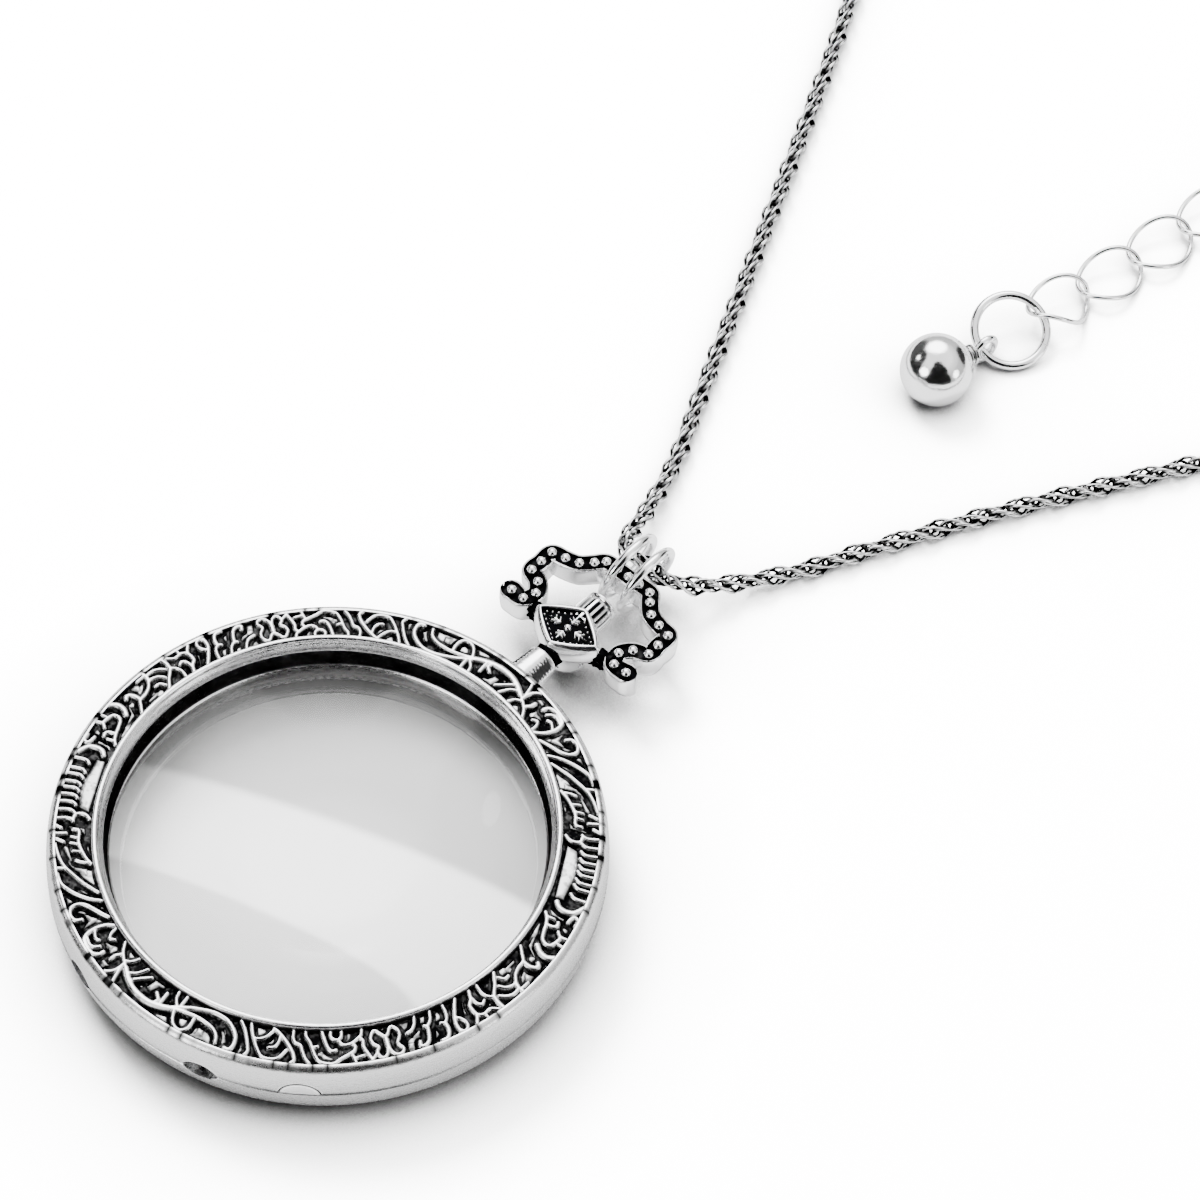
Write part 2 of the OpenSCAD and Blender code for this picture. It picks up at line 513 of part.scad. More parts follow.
function link_point(a, twist) = let (
    half = [(link_l - link_wire) / 2, (link_w - link_wire) / 2],
    turn = twist * cos(a)
) [half[0] * cos(a), half[1] * sin(a) * cos(turn), half[1] * sin(a) * sin(turn)];

module oval_link(twist) color(SILVER) rotate([link_lean, 0, 0])
    wire_loop([for (i = [0:15]) link_point(i * 22.5, twist)], link_wire / 2, 6);

module first_link() at_extender() translate([first_link_x, 0, first_link_z]) rotate([0, first_link_slope, 0])
    oval_link(first_link_twist);

module next_link(k) at_extender() translate([first_link_x + k * link_step - 0.05, 0, link_z]) oval_link(link_twist);

// The hidden closing, drawn from the closing ring's centre. The right strand's cap hangs on the ring on one side,
// and the clasp, its ring and the left strand's cap lead away on the other.
closing_d = 6;
closing_wire = 0.7;
closing_x = first_link_x + (LINKS - 1) * link_step + (link_l - link_wire) / 2 + 0.2;
closing_turn = 20;
closing_z = closing_d / 2 + 0.05;

module at_closing(turn) at_extender() translate([closing_x, 0, 0]) rotate(turn) children();

module upright_ring(x, d, wire) translate([x, 0, d / 2 + 0.05]) rotate([90, 0, 0]) torus(d, wire);

module closing_ring() color(SILVER) upright_ring(0, closing_d, closing_wire);

// Cap on a chain's end: a short sleeve with an eye, drawn along x from the eye's centre
cap_d = 2.4;
cap_l = 4;
eye_d = 3.6;
eye_wire = 0.6;

module cap(x) color(SILVER) translate([x, 0, cap_z]) {
    torus(eye_d, eye_wire);
    translate([eye_d / 2 - 0.4, 0, 0]) rotate([0, 90, 0]) cylinder(d = cap_d, h = cap_l, $fn = 32);
}

cap_right_x = 2.1;
module cap_right() cap(cap_right_x);

// Clasp with its hook's end in the closing ring, sloping down to its own ring
clasp_t = 1.3;
clasp_eye_x = 11.6;
clasp_eye_d = 3.8;
clasp_tip_z = 4.1;
clasp_slope = 12.5;

module clasp_slab(near, far) hull() {
    translate([near[0], 0, 0]) cylinder(r = near[1], h = near[2], center = true, $fn = 32);
    translate([far[0], 0, 0]) cylinder(r = far[1], h = far[2], center = true, $fn = 32);
}

module lobster_clasp() color(SILVER) translate([0, 0, clasp_tip_z]) rotate([0, clasp_slope, 0]) {
    difference() {
        clasp_slab([2.2, 2.4, clasp_t], [8, 2.5, clasp_t]);
        clasp_slab([2.3, 1.5, 2 * clasp_t], [6.2, 1.1, 2 * clasp_t]);
    }
    translate([clasp_eye_x, 0, 0]) torus(clasp_eye_d, 0.8);
}

clasp_ring_x = 13.1;
module clasp_ring() color(SILVER) upright_ring(clasp_ring_x, 5.4, 0.6);

cap_left_x = clasp_ring_x + 2;
module cap_left() cap(cap_left_x);

at_case() front_bezel();
at_case() back_case();
at_case() lens();
at_bow() bow();
at_bow() jump_ring(1.1, 4.8);  // jump_ring_left
at_bow() jump_ring(-0.9, 4.7);  // jump_ring_right
at_bow() chain(LEFT);  // chain_left
at_bow() chain(RIGHT);  // chain_right
at_closing(closing_turn) cap_left();
at_closing(-closing_turn) cap_right();
at_extender() ball_drop();
at_extender() end_ring();
first_link();  // link_1
next_link(1);  // link_2
next_link(2);  // link_3
next_link(3);  // link_4
next_link(4);  // link_5
next_link(5);  // link_6
at_closing(0) closing_ring();
at_closing(closing_turn) lobster_clasp();
at_closing(closing_turn) clasp_ring();
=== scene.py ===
"""Magnifier pendant necklace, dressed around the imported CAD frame. Lengths in the tables are millimetres."""

import math

import bpy
import numpy as np
from bpy.props import FloatProperty, FloatVectorProperty, IntProperty, PointerProperty
from mathutils import Matrix, Vector


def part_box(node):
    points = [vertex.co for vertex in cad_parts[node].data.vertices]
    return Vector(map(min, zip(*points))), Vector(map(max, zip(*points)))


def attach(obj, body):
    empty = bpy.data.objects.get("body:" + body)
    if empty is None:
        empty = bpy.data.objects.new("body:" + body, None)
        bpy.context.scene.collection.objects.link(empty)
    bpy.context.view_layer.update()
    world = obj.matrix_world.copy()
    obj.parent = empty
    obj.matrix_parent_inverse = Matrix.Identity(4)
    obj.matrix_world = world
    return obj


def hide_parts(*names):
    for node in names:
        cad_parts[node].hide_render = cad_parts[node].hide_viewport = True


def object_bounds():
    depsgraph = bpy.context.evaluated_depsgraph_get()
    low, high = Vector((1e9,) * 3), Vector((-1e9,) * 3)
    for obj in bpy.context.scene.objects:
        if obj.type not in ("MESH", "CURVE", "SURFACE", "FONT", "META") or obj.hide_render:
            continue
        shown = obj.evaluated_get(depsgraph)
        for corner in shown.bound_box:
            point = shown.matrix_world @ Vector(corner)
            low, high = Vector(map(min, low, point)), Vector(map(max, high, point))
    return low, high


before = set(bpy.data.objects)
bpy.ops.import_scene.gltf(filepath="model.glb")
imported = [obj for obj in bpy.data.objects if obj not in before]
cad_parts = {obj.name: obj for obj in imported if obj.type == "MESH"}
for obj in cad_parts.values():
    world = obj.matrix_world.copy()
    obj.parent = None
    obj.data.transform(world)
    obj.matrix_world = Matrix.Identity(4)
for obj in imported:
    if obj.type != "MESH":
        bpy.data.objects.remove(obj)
CAD_BOX = [[float(x) for x in corner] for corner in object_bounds()]

bl_info = {
    "name": "Magnifier Pendant",
    "version": (1, 0, 0),
    "blender": (4, 5, 0),
    "location": "View3D > Sidebar > Pendant",
    "description": "Builds the detailed pieces of the magnifier pendant necklace",
    "category": "Object",
}

MM = 0.001
TAU = 2 * math.pi


def case_centre():
    lo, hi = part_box("lens")
    return (lo + hi) / 2 / MM


def moved(x, y, z):
    return Matrix.Translation((x, y, z))


def turned(degrees, axis):
    return Matrix.Rotation(math.radians(degrees), 4, axis)


CENTRE = case_centre()
# The case: height and radius, height of the seam, and radius of the side's bulge above it
CASE_H = 8.4
CASE_R = 22.5
SEAM_H = 5.0
BULGE = 16

# The ornament's band: radii, height of its floor at each, height of the scrolls, and height and edge of the
# leaves
BAND_IN, BAND_OUT = 18.75, 21.7
FLOOR_IN, FLOOR_OUT = 8.0, 7.74
RELIEF_H = 0.42
LEAF_H, LEAF_EDGE = 0.24, 0.13

# The extender's first link, the step from link to link, a link's length and its wire
LINK_X, LINK_STEP, LINK_LONG, LINK_WIRE = 14.9, 6.2, 7.2, 0.45
CLOSING_X = LINK_X + 5 * LINK_STEP + (LINK_LONG - LINK_WIRE) / 2 + 0.2
CLOSING_TURN = 20

AT_CASE = moved(CENTRE.x, CENTRE.y, 0)
AT_BOW = AT_CASE @ turned(50.5, "Z")
AT_EXTENDER = AT_BOW @ moved(73.3, -4, 0) @ turned(-10.5, "Z")
PLAQUE_X = 28.8


def at_closing(degrees):
    return AT_EXTENDER @ moved(CLOSING_X, 0, 0) @ turned(degrees, "Z")


# Scroll lines of one half of the band, one a row: width, then by turns degrees round the ring and distance
# out from the groove
LINES = [
    [1.2, 3, 1.45, 3.6, 0.98, 6.5, 1, 9, 0.78, 11.3, 0.5, 13.3, 0.15],
    [0.9, 4.9, 1.6, 5.5, 1.05],
    [0.9, 6.6, 1.65, 7.2, 1],
    [0.9, 8.9, 1.5, 9.3, 0.85],
    [1.1, 11.5, 1.27, 12.1, 0.95, 12.7, 0.45],
    [1.1, 6.5, 2.85, 10, 2.58, 12.5, 2.25, 15, 1.7, 17.5, 1.15, 20, 0.52, 21.7, 0.1],
    [1.2, 12.5, 2.95, 13, 2.3],
    [1.2, 14, 2.87, 16.5, 2.75, 18.5, 2.3, 20.5, 1.7, 22.5, 0.95, 24.2, 0.1],
    [1.3, 26.9, 2.1, 26.4, 2.6, 24.8, 2.8, 23.1, 2.5, 22.9, 1.9, 24, 1.3, 26.5, 0.72, 29.1, 0.13],
    [1.1, 1.7, 2.9, 2.5, 2.4],
    [1.2, 3.8, 2.95, 3.95, 2],
    [1.1, 5.1, 2.8, 6.15, 2.15],
    [1.5, 31.9, 0.1, 30.8, 0.65, 30.35, 1.35, 30.5, 2.05, 31.4, 2.65, 33.3, 2.8, 35.3, 2.72, 36.4, 2.35, 36.5, 1.95],
    [1.2, 31.3, 2.4, 33.2, 2.5, 34.3, 2.3, 34.9, 1.9],
    [1, 30.9, 1.6, 32.5, 1.83, 33.5, 1.68],
    [1.1, 32.9, 0.1, 33.4, 0.6, 34.4, 0.92, 35.4, 0.65],
    [1.4, 38.9, 1.8, 38.95, 1.35, 39.5, 0.95],
    [1.2, 37.4, 0.1, 39, 0.65, 41.2, 1.1, 43, 1.4],
    [1.9, 43, 1.4, 45, 1.78, 47.5, 2.1, 50, 2.2, 52.4, 2.18, 55, 1.95, 57.5, 1.6],
    [1.2, 57.5, 1.6, 60.5, 1.3, 63.5, 1.18, 66, 1.28, 68, 1.5, 69.5, 1.95, 70, 2.55],
    [1.4, 57.5, 1.5, 60, 1, 62, 0.65, 65, 0.35, 67.5, 0.25, 70, 0.4, 72, 0.85, 73.5, 1.5, 73.8, 2.2, 73.3, 2.7,
     72.2, 2.7],
    [1.1, 41.6, 1, 42.7, 0.65, 43.3, 0.1],
    [1.1, 44.6, 1.4, 45.8, 1, 46.9, 0.2],
    [1.2, 46.3, 1.6, 47.6, 1.05, 49.1, 0.5],
    [1.3, 40.5, 2.8, 41.6, 2.3, 41.9, 1.75, 41.8, 1.2],
    [1.2, 43.5, 2.85, 42.7, 2.2, 42, 1.6],
    [1.3, 53.4, 2.1, 53.9, 1.6, 52.6, 1.2],
    [1.2, 54.8, 1.95, 54.6, 0.75],
    [1.2, 58.4, 1.6, 59.3, 2.25, 60.4, 2.65, 61.9, 2.78, 63.1, 2.45, 63.4, 1.9, 63.3, 1.3],
    [1.1, 56.7, 0.1, 57, 0.6, 57.9, 1, 58.6, 1.3],
    [1.1, 59.1, 0.1, 59.1, 1.1],
    [1.1, 76.5, 2.9, 77.1, 2.45, 76.9, 2.15, 76.1, 1.45, 74.9, 0.7, 73.5, 0.12],
    [1.1, 76, 0.12, 76.8, 0.78, 77.6, 1.3, 78.8, 2, 80.2, 2.6, 82, 2.7, 83.7, 2.5, 85.1, 1.8],
    [1, 77.5, 1.25, 79, 1.18, 80.3, 0.88, 81.4, 0.35],
    [1.3, 81.5, 0.12, 82.6, 0.36, 84.1, 0.83, 85.4, 1.35, 86.6, 2, 87, 2.55, 86.3, 2.88],
    [1, 83.3, 0.7, 83.1, 1.25, 82.4, 1.66, 81.2, 1.78],
    [1.1, 86.1, 0.12, 86.15, 0.65, 86.8, 1.08, 88, 1.28, 88.6, 1.8, 89.3, 2.35, 90.2, 2.75],
    [1.1, 88.9, 0.12, 89.1, 0.5, 90, 0.95, 90.6, 1.45, 91.3, 2.05, 92.2, 2.55, 93.5, 2.75],
    [1, 90.6, 1.45, 91.8, 1.3],
    [1.2, 93.5, 2.75, 95.2, 2.78, 96.7, 2.42, 98.3, 2.12, 99.6, 1.85, 100, 1.5, 99.5, 1.2],
    [1.1, 99.2, 2.1, 99.6, 2.5, 99.9, 2.95],
    [1, 99.7, 2.45, 101.6, 2.3],
    [1.2, 92.7, 0.12, 93.2, 0.7, 94, 1.4, 94.9, 1.72, 95.8, 1.65],
    [1.1, 94.7, 0.12, 94.7, 0.5, 95.5, 0.76, 96.4, 0.78, 97.1, 0.52, 97.2, 0.12],
    [1.1, 96.4, 0.8, 97, 1.13, 98, 1.28, 99.4, 1.15, 100.8, 0.8, 101.6, 0.55, 101.9, 0.12],
    [1.2, 101.1, 0.75, 101.8, 1.05, 101.8, 1.6, 102.5, 2.2, 103.1, 2.7, 103.2, 2.95],
    [1.1, 107, 1.85, 106.5, 2.5, 105.6, 2.78, 104.8, 2.55, 104.5, 2.15, 105, 1.8, 104, 1.45, 103.6, 1.05, 104.1,
     0.55, 104.9, 0.38, 106, 0.75, 106.9, 1.08],
    [1.1, 107, 1.85, 107.6, 2.45, 108.6, 2.75, 109.7, 2.65, 110, 2.3, 109.2, 1.8, 110, 1.25, 110, 0.75, 109, 0.34,
     108.2, 0.45, 107.6, 0.85, 106.9, 1.08],
    [1.6, 107, 1.9, 106.95, 1.3],
    [1, 103.2, 2.8, 104.6, 2.2],
    [1.1, 111.6, 1.25, 113, 1.08, 114, 0.65, 114.6, 0.12],
    [1.3, 113.8, 2.25, 113.6, 2.6, 114.7, 2.65, 115.7, 2.35, 116.3, 1.75, 116.6, 1.2],
    [1.1, 115.9, 1.1, 116.6, 1.2, 117.8, 0.78, 118.5, 0.12],
    [1.4, 118.2, 2.8, 119.5, 2.75, 120.4, 2.25, 120.5, 1.6],
    [1.1, 119.6, 1.4, 120.5, 1.5, 121.4, 1.15, 121.8, 0.6, 121.9, 0.12],
    [1.3, 122.5, 2.75, 122.4, 2.1, 123, 1.45, 124.2, 0.67, 125.3, 0.12],
    [1.1, 122.6, 2.6, 123.3, 2.85, 124.3, 2.65, 124.5, 2.2, 123.9, 1.75, 123.1, 1.55],
    [1.3, 126.3, 2.8, 127.3, 2.2, 127.2, 1.7, 127.3, 1.2, 128.4, 0.8, 129.2, 0.15],
    [1.1, 128.7, 0.8, 129, 1.38, 129.8, 1.65, 130.7, 1.48],
    [1.1, 127.4, 2.15, 128.7, 2.42, 130.5, 2.32, 132, 2.75],
    [1, 129, 2.9, 129, 2.4],
    [1.5, 133, 2.9, 132.8, 2.3, 133, 1.7],
    [1.3, 133, 1.7, 134, 1.3, 135.2, 0.9, 136.1, 0.5, 137, 0.12],
    [1.1, 133, 1.7, 131.9, 1.35, 131.4, 0.8, 131.6, 0.12],
    [1.2, 134, 1.9, 135, 2.25, 136.5, 2.5, 138.3, 2.45],
    [1.5, 138.5, 2.9, 138.4, 2.4, 138.9, 1.9],
    [1.1, 135.5, 1.25, 136.5, 1.7, 138, 1.93, 139, 1.9],
    [1.2, 139, 1.9, 140.2, 1.45, 142, 1.18, 144, 1.1, 145.3, 0.65, 146.8, 0.12],
    [1.5, 143.9, 1.15, 143.9, 1.7, 144.4, 2.15, 145.2, 2.28, 145.7, 2.1],
    [1.1, 136.9, 0.65, 137.7, 1.07, 138.9, 1.1],
    [1, 138.9, 2.6, 140.8, 2.6],
    [1.8, 148.8, 2.85, 148, 2.3, 148.2, 1.65, 149.3, 1.12],
    [1.3, 153.6, 2.33, 152, 2.2, 150.8, 1.95, 150.7, 1.5, 151.5, 1.15, 153.2, 0.93, 155, 0.78, 156.8, 0.55, 158,
     0.25],
    [1, 152, 2.9, 152, 2.3],
    [1.2, 154, 2.9, 153.8, 2.3, 154.7, 1.92],
    [1.3, 155.1, 0.85, 155.3, 1.35, 155.9, 1.6, 156.8, 1.55],
    [1, 157.2, 1.15, 157.1, 0.6],
    [1.2, 157.6, 2.85, 159.2, 2.85, 159.6, 2.55, 159, 2.32, 157.8, 2.2],
    [1.7, 162.6, 2.9, 161.3, 2.55, 160.4, 2.15, 160.2, 1.5, 160.7, 1, 161.8, 0.7],
    [1.3, 180.4, 1.55, 179, 1.38, 178.8, 0.85, 179.4, 0.45, 180.4, 0.2],
]

RIBS = [164, 166.6, 168.2, 170.2, 171.8, 173.6, 175.5, 177.6, 179.9]
RIB = [[0, 2.92], [0, 2.05], [0.35, 1.7], [0.9, 1.5]]
RIB_W = 1.15

# Low leaves between the lines: outlines, by turns degrees and distance out
LEAVES = [
    [6.5, 2.1, 7.3, 2.33, 11.7, 1.75, 11.2, 1.5, 7.3, 1.75],
    [12.6, 1.6, 13.6, 1.6, 16.8, 0.5, 13.9, 0.4],
    [1.5, 1.9, 2.3, 1.9, 3.2, 0.85, 5.5, 0.45, 2.6, 0.45],
    [19.5, 2.7, 21.9, 2.7, 22, 2.2, 21.2, 2.15],
    [24.6, 1.9, 27.5, 1.75, 29.2, 2.55, 28.8, 0.95, 27.8, 0.85],
    [33.6, 1.35, 35.2, 1.5, 37.3, 1.45, 36.5, 0.7, 35.9, 0.95],
    [37.6, 2.5, 39.4, 2.65, 40.3, 2.05, 39.6, 2.1, 37.6, 2.1],
    [49.3, 1.35, 51.2, 1.4, 52, 0.7, 53.6, 0.5, 52.8, 0.25, 49.8, 0.25],
    [64.6, 2.6, 67.2, 2.45, 66.7, 1.8, 65, 1.7],
    [70, 1, 71.4, 1.9, 71.6, 1.45, 70.4, 0.9],
    [91.5, 2, 93.5, 2.3, 93, 1.75, 91.8, 1.6],
    [110.8, 2.6, 112.6, 2.65, 113, 1.9, 111, 1.9],
    [112.5, 1.92, 114.5, 1.65, 115.1, 1.3, 114.6, 1.1, 112.6, 1.5],
    [116.9, 2.5, 118.6, 2.2, 118.3, 1.6, 117.7, 1.7],
    [125.1, 1.5, 125.9, 1.8, 126.2, 1.1, 127, 0.5, 126.2, 0.55],
    [140.6, 2.3, 141.4, 2.7, 143.2, 2.6, 142.4, 1.75, 141.2, 1.85],
    [139, 0.45, 139.6, 0.78, 142.8, 0.68, 143.6, 0.35, 140, 0.3],
    [146.2, 1.6, 146.9, 1.65, 148.2, 0.98, 151.5, 0.6, 151, 0.35, 148, 0.45],
    [162.8, 0.3, 162.8, 1.2, 165.8, 1.25, 169.2, 1.5, 173, 1.5, 176.8, 1.3, 178.4, 0.3],
]

# Rope chain routes in the bow's directions: outwards, across, height
RISE = 4.6
CAP_Z = 1.25
LEFT_ROUTE = [
    [39.1, 0.25, RISE], [39.15, 2.3, RISE - 0.2], [41.4, 4, 3], [46, 5.5, 1.6], [52, 7.6, 1], [58, 10.3, 1],
    [76, 18.3, 1], [98, 28.2, 1], [125, 41, 1], [155, 52, 1], [185, 54, 1], [208, 45, 1], [218, 29, 1],
    [209, 13, 1], [191, 5, 1], [172, -1.2, 1], [156, -7, 1], [142.4, -9.6, CAP_Z],
]
RIGHT_ROUTE = [
    [39.1, -0.25, RISE], [39, -1.8, RISE - 0.1], [41, -3.6, 3], [45, -5.8, 1.6], [50, -8.6, 1], [54, -10.6, 1],
    [66, -17, 1], [82, -26.5, 1], [105, -40, 1], [135, -55, 1], [165, -62, 1], [190, -58, 1], [202, -46, 1],
    [195, -34, 1], [178, -30, 1], [159, -29.5, 1], [141.5, -24.5, 1], [128.65, -16.95, CAP_Z],
]

# Height and radius of the beads on the bow's arms, and their places from the curl to the middle of the top bar:
# outwards, across
BEAD_H, BEAD_R = 5.42, 0.46
ARM_BEADS = [
    [28.9, 6.35], [28.9, 5.05], [30, 4.6], [31, 5.3], [31.6, 6.5], [32.8, 6.5], [34.1, 6.45], [34.4, 5.2],
    [34.8, 4], [35.7, 3.1], [36.45, 2.4], [36.5, 1.2], [36.5, 0],
]


class Shape:
    """Closed parts that together make one piece, with how black each point is."""

    def __init__(self, *part):
        self.verts, self.faces, self.black, self.count = [], [], [], 0
        if part:
            self.add(*part)

    def add(self, verts, faces, black, at=None):
        """Adds a closed part at a place, with its faces turned outwards."""
        verts = np.asarray(verts, float).reshape(-1, 3)
        if signed_volume(verts, faces) < 0:
            faces = [f[:, ::-1] for f in faces]
        if at is not None:
            m = np.array(at)
            verts = verts @ m[:3, :3].T + m[:3, 3]
        self.verts.append(verts)
        self.black.append(np.broadcast_to(np.ravel(black), len(verts)))
        self.faces += [f + self.count for f in faces]
        self.count += len(verts)
        return self


def polar(r, turn, z):
    """Points at a radius, a turn round the z axis in radians, and a height."""
    return np.stack(np.broadcast_arrays(r * np.cos(turn), r * np.sin(turn), z), -1)


def full_turn(steps):
    return np.arange(steps) * TAU / steps


def signed_volume(verts, faces):
    total = 0.0
    for f in faces:
        for k in range(1, f.shape[1] - 1):
            a, b, c = verts[f[:, 0]], verts[f[:, k]], verts[f[:, k + 1]]
            total += np.einsum("ij,ij->i", a, np.cross(b, c)).sum()
    return total


def skin(rings, closed=False):
    """Walls between rings of points, and a fan over each end unless the path is closed."""
    rings = np.asarray(rings, float)
    n, m = rings.shape[:2]
    ids = np.arange(n * m).reshape(n, m)
    a, b = (ids, np.roll(ids, -1, axis=0)) if closed else (ids[:-1], ids[1:])
    quads = np.stack([a, b, np.roll(b, -1, axis=1), np.roll(a, -1, axis=1)], -1).reshape(-1, 4)
    verts = rings.reshape(-1, 3)
    if closed:
        return verts, [quads]
    fan_a = np.stack([np.full(m, n * m), ids[0], np.roll(ids[0], -1)], -1)
    fan_b = np.stack([np.full(m, n * m + 1), np.roll(ids[-1], -1), ids[-1]], -1)
    return np.vstack([verts, rings[0].mean(0), rings[-1].mean(0)]), [quads, np.vstack([fan_a, fan_b])]


def spun(profile, steps, closed=True):
    """A profile of (radius, height) turned round the z axis; closed means the profile is a loop off the axis."""
    r, z = np.asarray(profile, float).T
    turn = full_turn(steps)
    if closed:
        return skin(polar(r, turn[:, None], z), closed=True)
    return skin(polar(r[:, None], turn, z[:, None]))


def torus(ring_r, wire_r, around=96, sides=20, gap=0.0, gap_at=0.0):
    """A ring of round wire about the z axis, whole or with a small cut at an angle in degrees."""
    s = full_turn(sides)
    turn = math.radians(gap_at) + gap / 2 + np.linspace(0, TAU - gap, around) if gap else full_turn(around)
    return skin(polar(ring_r + wire_r * np.cos(s), turn[:, None], wire_r * np.sin(s)), closed=not gap)


def smooth_path(points, steps):
    """A smooth curve through points."""
    p = np.asarray(points, float)
    out = []
    for i in range(len(p) - 1):
        a, b, c, d = p[max(i - 1, 0)], p[i], p[i + 1], p[min(i + 2, len(p) - 1)]
        for k in range(steps):
            t = k / steps
            out.append(0.5 * (2 * b + (c - a) * t + (2 * a - 5 * b + 4 * c - d) * t * t
                              + (3 * b - a - 3 * c + d) * t ** 3))
    out.append(p[-1])
    return np.array(out)


def sweep(path, profile, scale):
    """A closed profile of (across, height) carried along a level path of (x, y) points."""
    d = np.gradient(path, axis=0)
    d /= np.linalg.norm(d, axis=1)[:, None]
    side = np.stack([-d[:, 1], d[:, 0]], -1)
    xy = path[:, None, :] + side[:, None, :] * (profile[None, :, :1] * scale[:, None, None])
    z = np.broadcast_to(profile[None, :, 1:], (len(path), len(profile), 1))
    return skin(np.concatenate([xy, z], -1))


def ball(centre, r, around, rows):
    """A ball round an upright axis, with rows of points from pole to pole."""
    t = np.linspace(0, math.pi, rows + 2)[1:-1]
    v, f = spun(np.stack([r * np.sin(t), -r * np.cos(t)], -1), around, closed=False)
    v[-2:, 2] = (-r, r)
    return v + centre, f


def lathe(x, r, shade, steps, at):
    """A part of radii at places along the x axis, turned round it; radius and shade may change with the turn."""
    t = full_turn(steps)
    x, r, shade = (np.broadcast_to(np.reshape(m, (len(x), -1)), (len(x), steps)) for m in (x, r, shade))
    return (*skin(np.stack([x, r * np.sin(t), r * np.cos(t)], -1)), [*shade.ravel(), 0, 0], at)


def value_noise(x, y, seed, cell):
    """Smooth random values in 0..1 over a plane, the same on each run."""
    table = np.random.default_rng(seed).random((256, 256))
    ix, iy = np.floor(x / cell).astype(int), np.floor(y / cell).astype(int)
    fx, fy = x / cell - ix, y / cell - iy
    fx, fy = fx * fx * (3 - 2 * fx), fy * fy * (3 - 2 * fy)
    a, b, c, d = (table[(ix + i) % 256, (iy + j) % 256] for j in (0, 1) for i in (0, 1))
    return (a * (1 - fx) + b * fx) * (1 - fy) + (c * (1 - fx) + d * fx) * fy


def distance_to_path(x, y, path):
    best = np.full(x.shape, 1e9)
    for (ax, ay), (bx, by) in zip(path[:-1], path[1:]):
        dx, dy = bx - ax, by - ay
        t = np.clip(((x - ax) * dx + (y - ay) * dy) / max(dx * dx + dy * dy, 1e-12), 0, 1)
        best = np.minimum(best, np.hypot(x - ax - t * dx, y - ay - t * dy))
    return best


def inside_outline(x, y, outline):
    hit = np.zeros(x.shape, bool)
    n = len(outline)
    for i in range(n):
        (ax, ay), (bx, by) = outline[i], outline[(i + 1) % n]
        cross = (ay > y) != (by > y)
        hit ^= cross & (x < (bx - ax) * (y - ay) / (by - ay + 1e-12) + ax)
    return hit


def crest(d, half):
    """Height of a rounded line at a distance from its middle."""
    return np.sqrt(np.clip(1 - (d / half) ** 2, 0, 1)) ** 0.8


def new_mesh(name, shape):
    verts = np.vstack(shape.verts) * MM
    mesh = bpy.data.meshes.new(name)
    mesh.vertices.add(len(verts))
    mesh.vertices.foreach_set("co", verts.ravel())
    sizes = np.concatenate([np.full(len(f), f.shape[1]) for f in shape.faces])
    loops = np.concatenate([f.ravel() for f in shape.faces])
    mesh.loops.add(len(loops))
    mesh.loops.foreach_set("vertex_index", loops)
    mesh.polygons.add(len(sizes))
    mesh.polygons.foreach_set("loop_start", np.concatenate([[0], np.cumsum(sizes)[:-1]]))
    mesh.update(calc_edges=True)
    layer = mesh.attributes.new("black", "FLOAT", "POINT")
    layer.data.foreach_set("value", np.concatenate(shape.black).astype(np.float32))
    return mesh


def add_object(name, data):
    """A new object of a Shape, mesh, light or camera."""
    if isinstance(data, Shape):
        data = new_mesh(name, data)
    obj = bpy.data.objects.new(name, data)
    bpy.context.scene.collection.objects.link(obj)
    return obj


def finish_piece(obj, kind, nodes, sharp=38):
    """Shading, finish and the frame's bookkeeping of one piece."""
    mesh = obj.data
    mesh.polygons.foreach_set("use_smooth", np.ones(len(mesh.polygons), bool))
    mesh.set_sharp_from_angle(angle=math.radians(sharp))
    mesh.materials.clear()
    mesh.materials.append(finish_of(kind))
    mesh.update()
    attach(obj, "root")
    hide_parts(*nodes)


def make_piece(name, shape, kind, nodes, sharp=38):
    finish_piece(add_object(name, shape), kind, nodes, sharp)


def settle(obj, least=1):
    """Keeps what the modifiers make of an object as its plain mesh."""
    graph = bpy.context.evaluated_depsgraph_get()
    graph.update()
    mesh = bpy.data.meshes.new_from_object(obj.evaluated_get(graph), preserve_all_data_layers=True, depsgraph=graph)
    if len(mesh.polygons) < least:
        raise RuntimeError(f"{obj.name} came out empty")
    obj.modifiers.clear()
    obj.data = mesh


def cut(obj, cutters):
    """Cuts closed shapes out of an object."""
    tools = [add_object("cutter", shape) for shape in cutters]
    for tool in tools:
        mod = obj.modifiers.new("cut", "BOOLEAN")
        mod.operation, mod.solver, mod.object = "DIFFERENCE", "EXACT", tool
    settle(obj)
    for tool in tools:
        bpy.data.objects.remove(tool)


def node(tree, kind, *inputs, **values):
    """A node; its inputs, by order or name, take a value or the output of another node."""
    n = tree.nodes.new(kind)
    for key, value in [*enumerate(inputs), *values.items()]:
        label = key.replace("_", " ") if isinstance(key, str) else key
        if isinstance(value, bpy.types.Node):
            value = value.outputs[0]
        if isinstance(label, str) and label not in n.inputs:
            setattr(n, key, value)
        elif isinstance(value, bpy.types.NodeSocket):
            tree.links.new(value, n.inputs[label])
        elif value is not None:
            n.inputs[label].default_value = value
    return n


def spread(tree, value, lo, hi, low, high, **how):
    """Maps a value between two limits to another range."""
    return node(tree, "ShaderNodeMapRange", value, lo, hi, low, high, **how)


def blend(tree, share, first, second):
    """Mixes two greys, colours or outputs."""
    a, b = [(c, c, c, 1) if isinstance(c, float) else (*c, 1) if isinstance(c, (list, tuple)) else c
            for c in (first, second)]
    return node(tree, "ShaderNodeMixRGB", share, a, b)


def scaled(colour, by):
    return [c * by for c in colour]


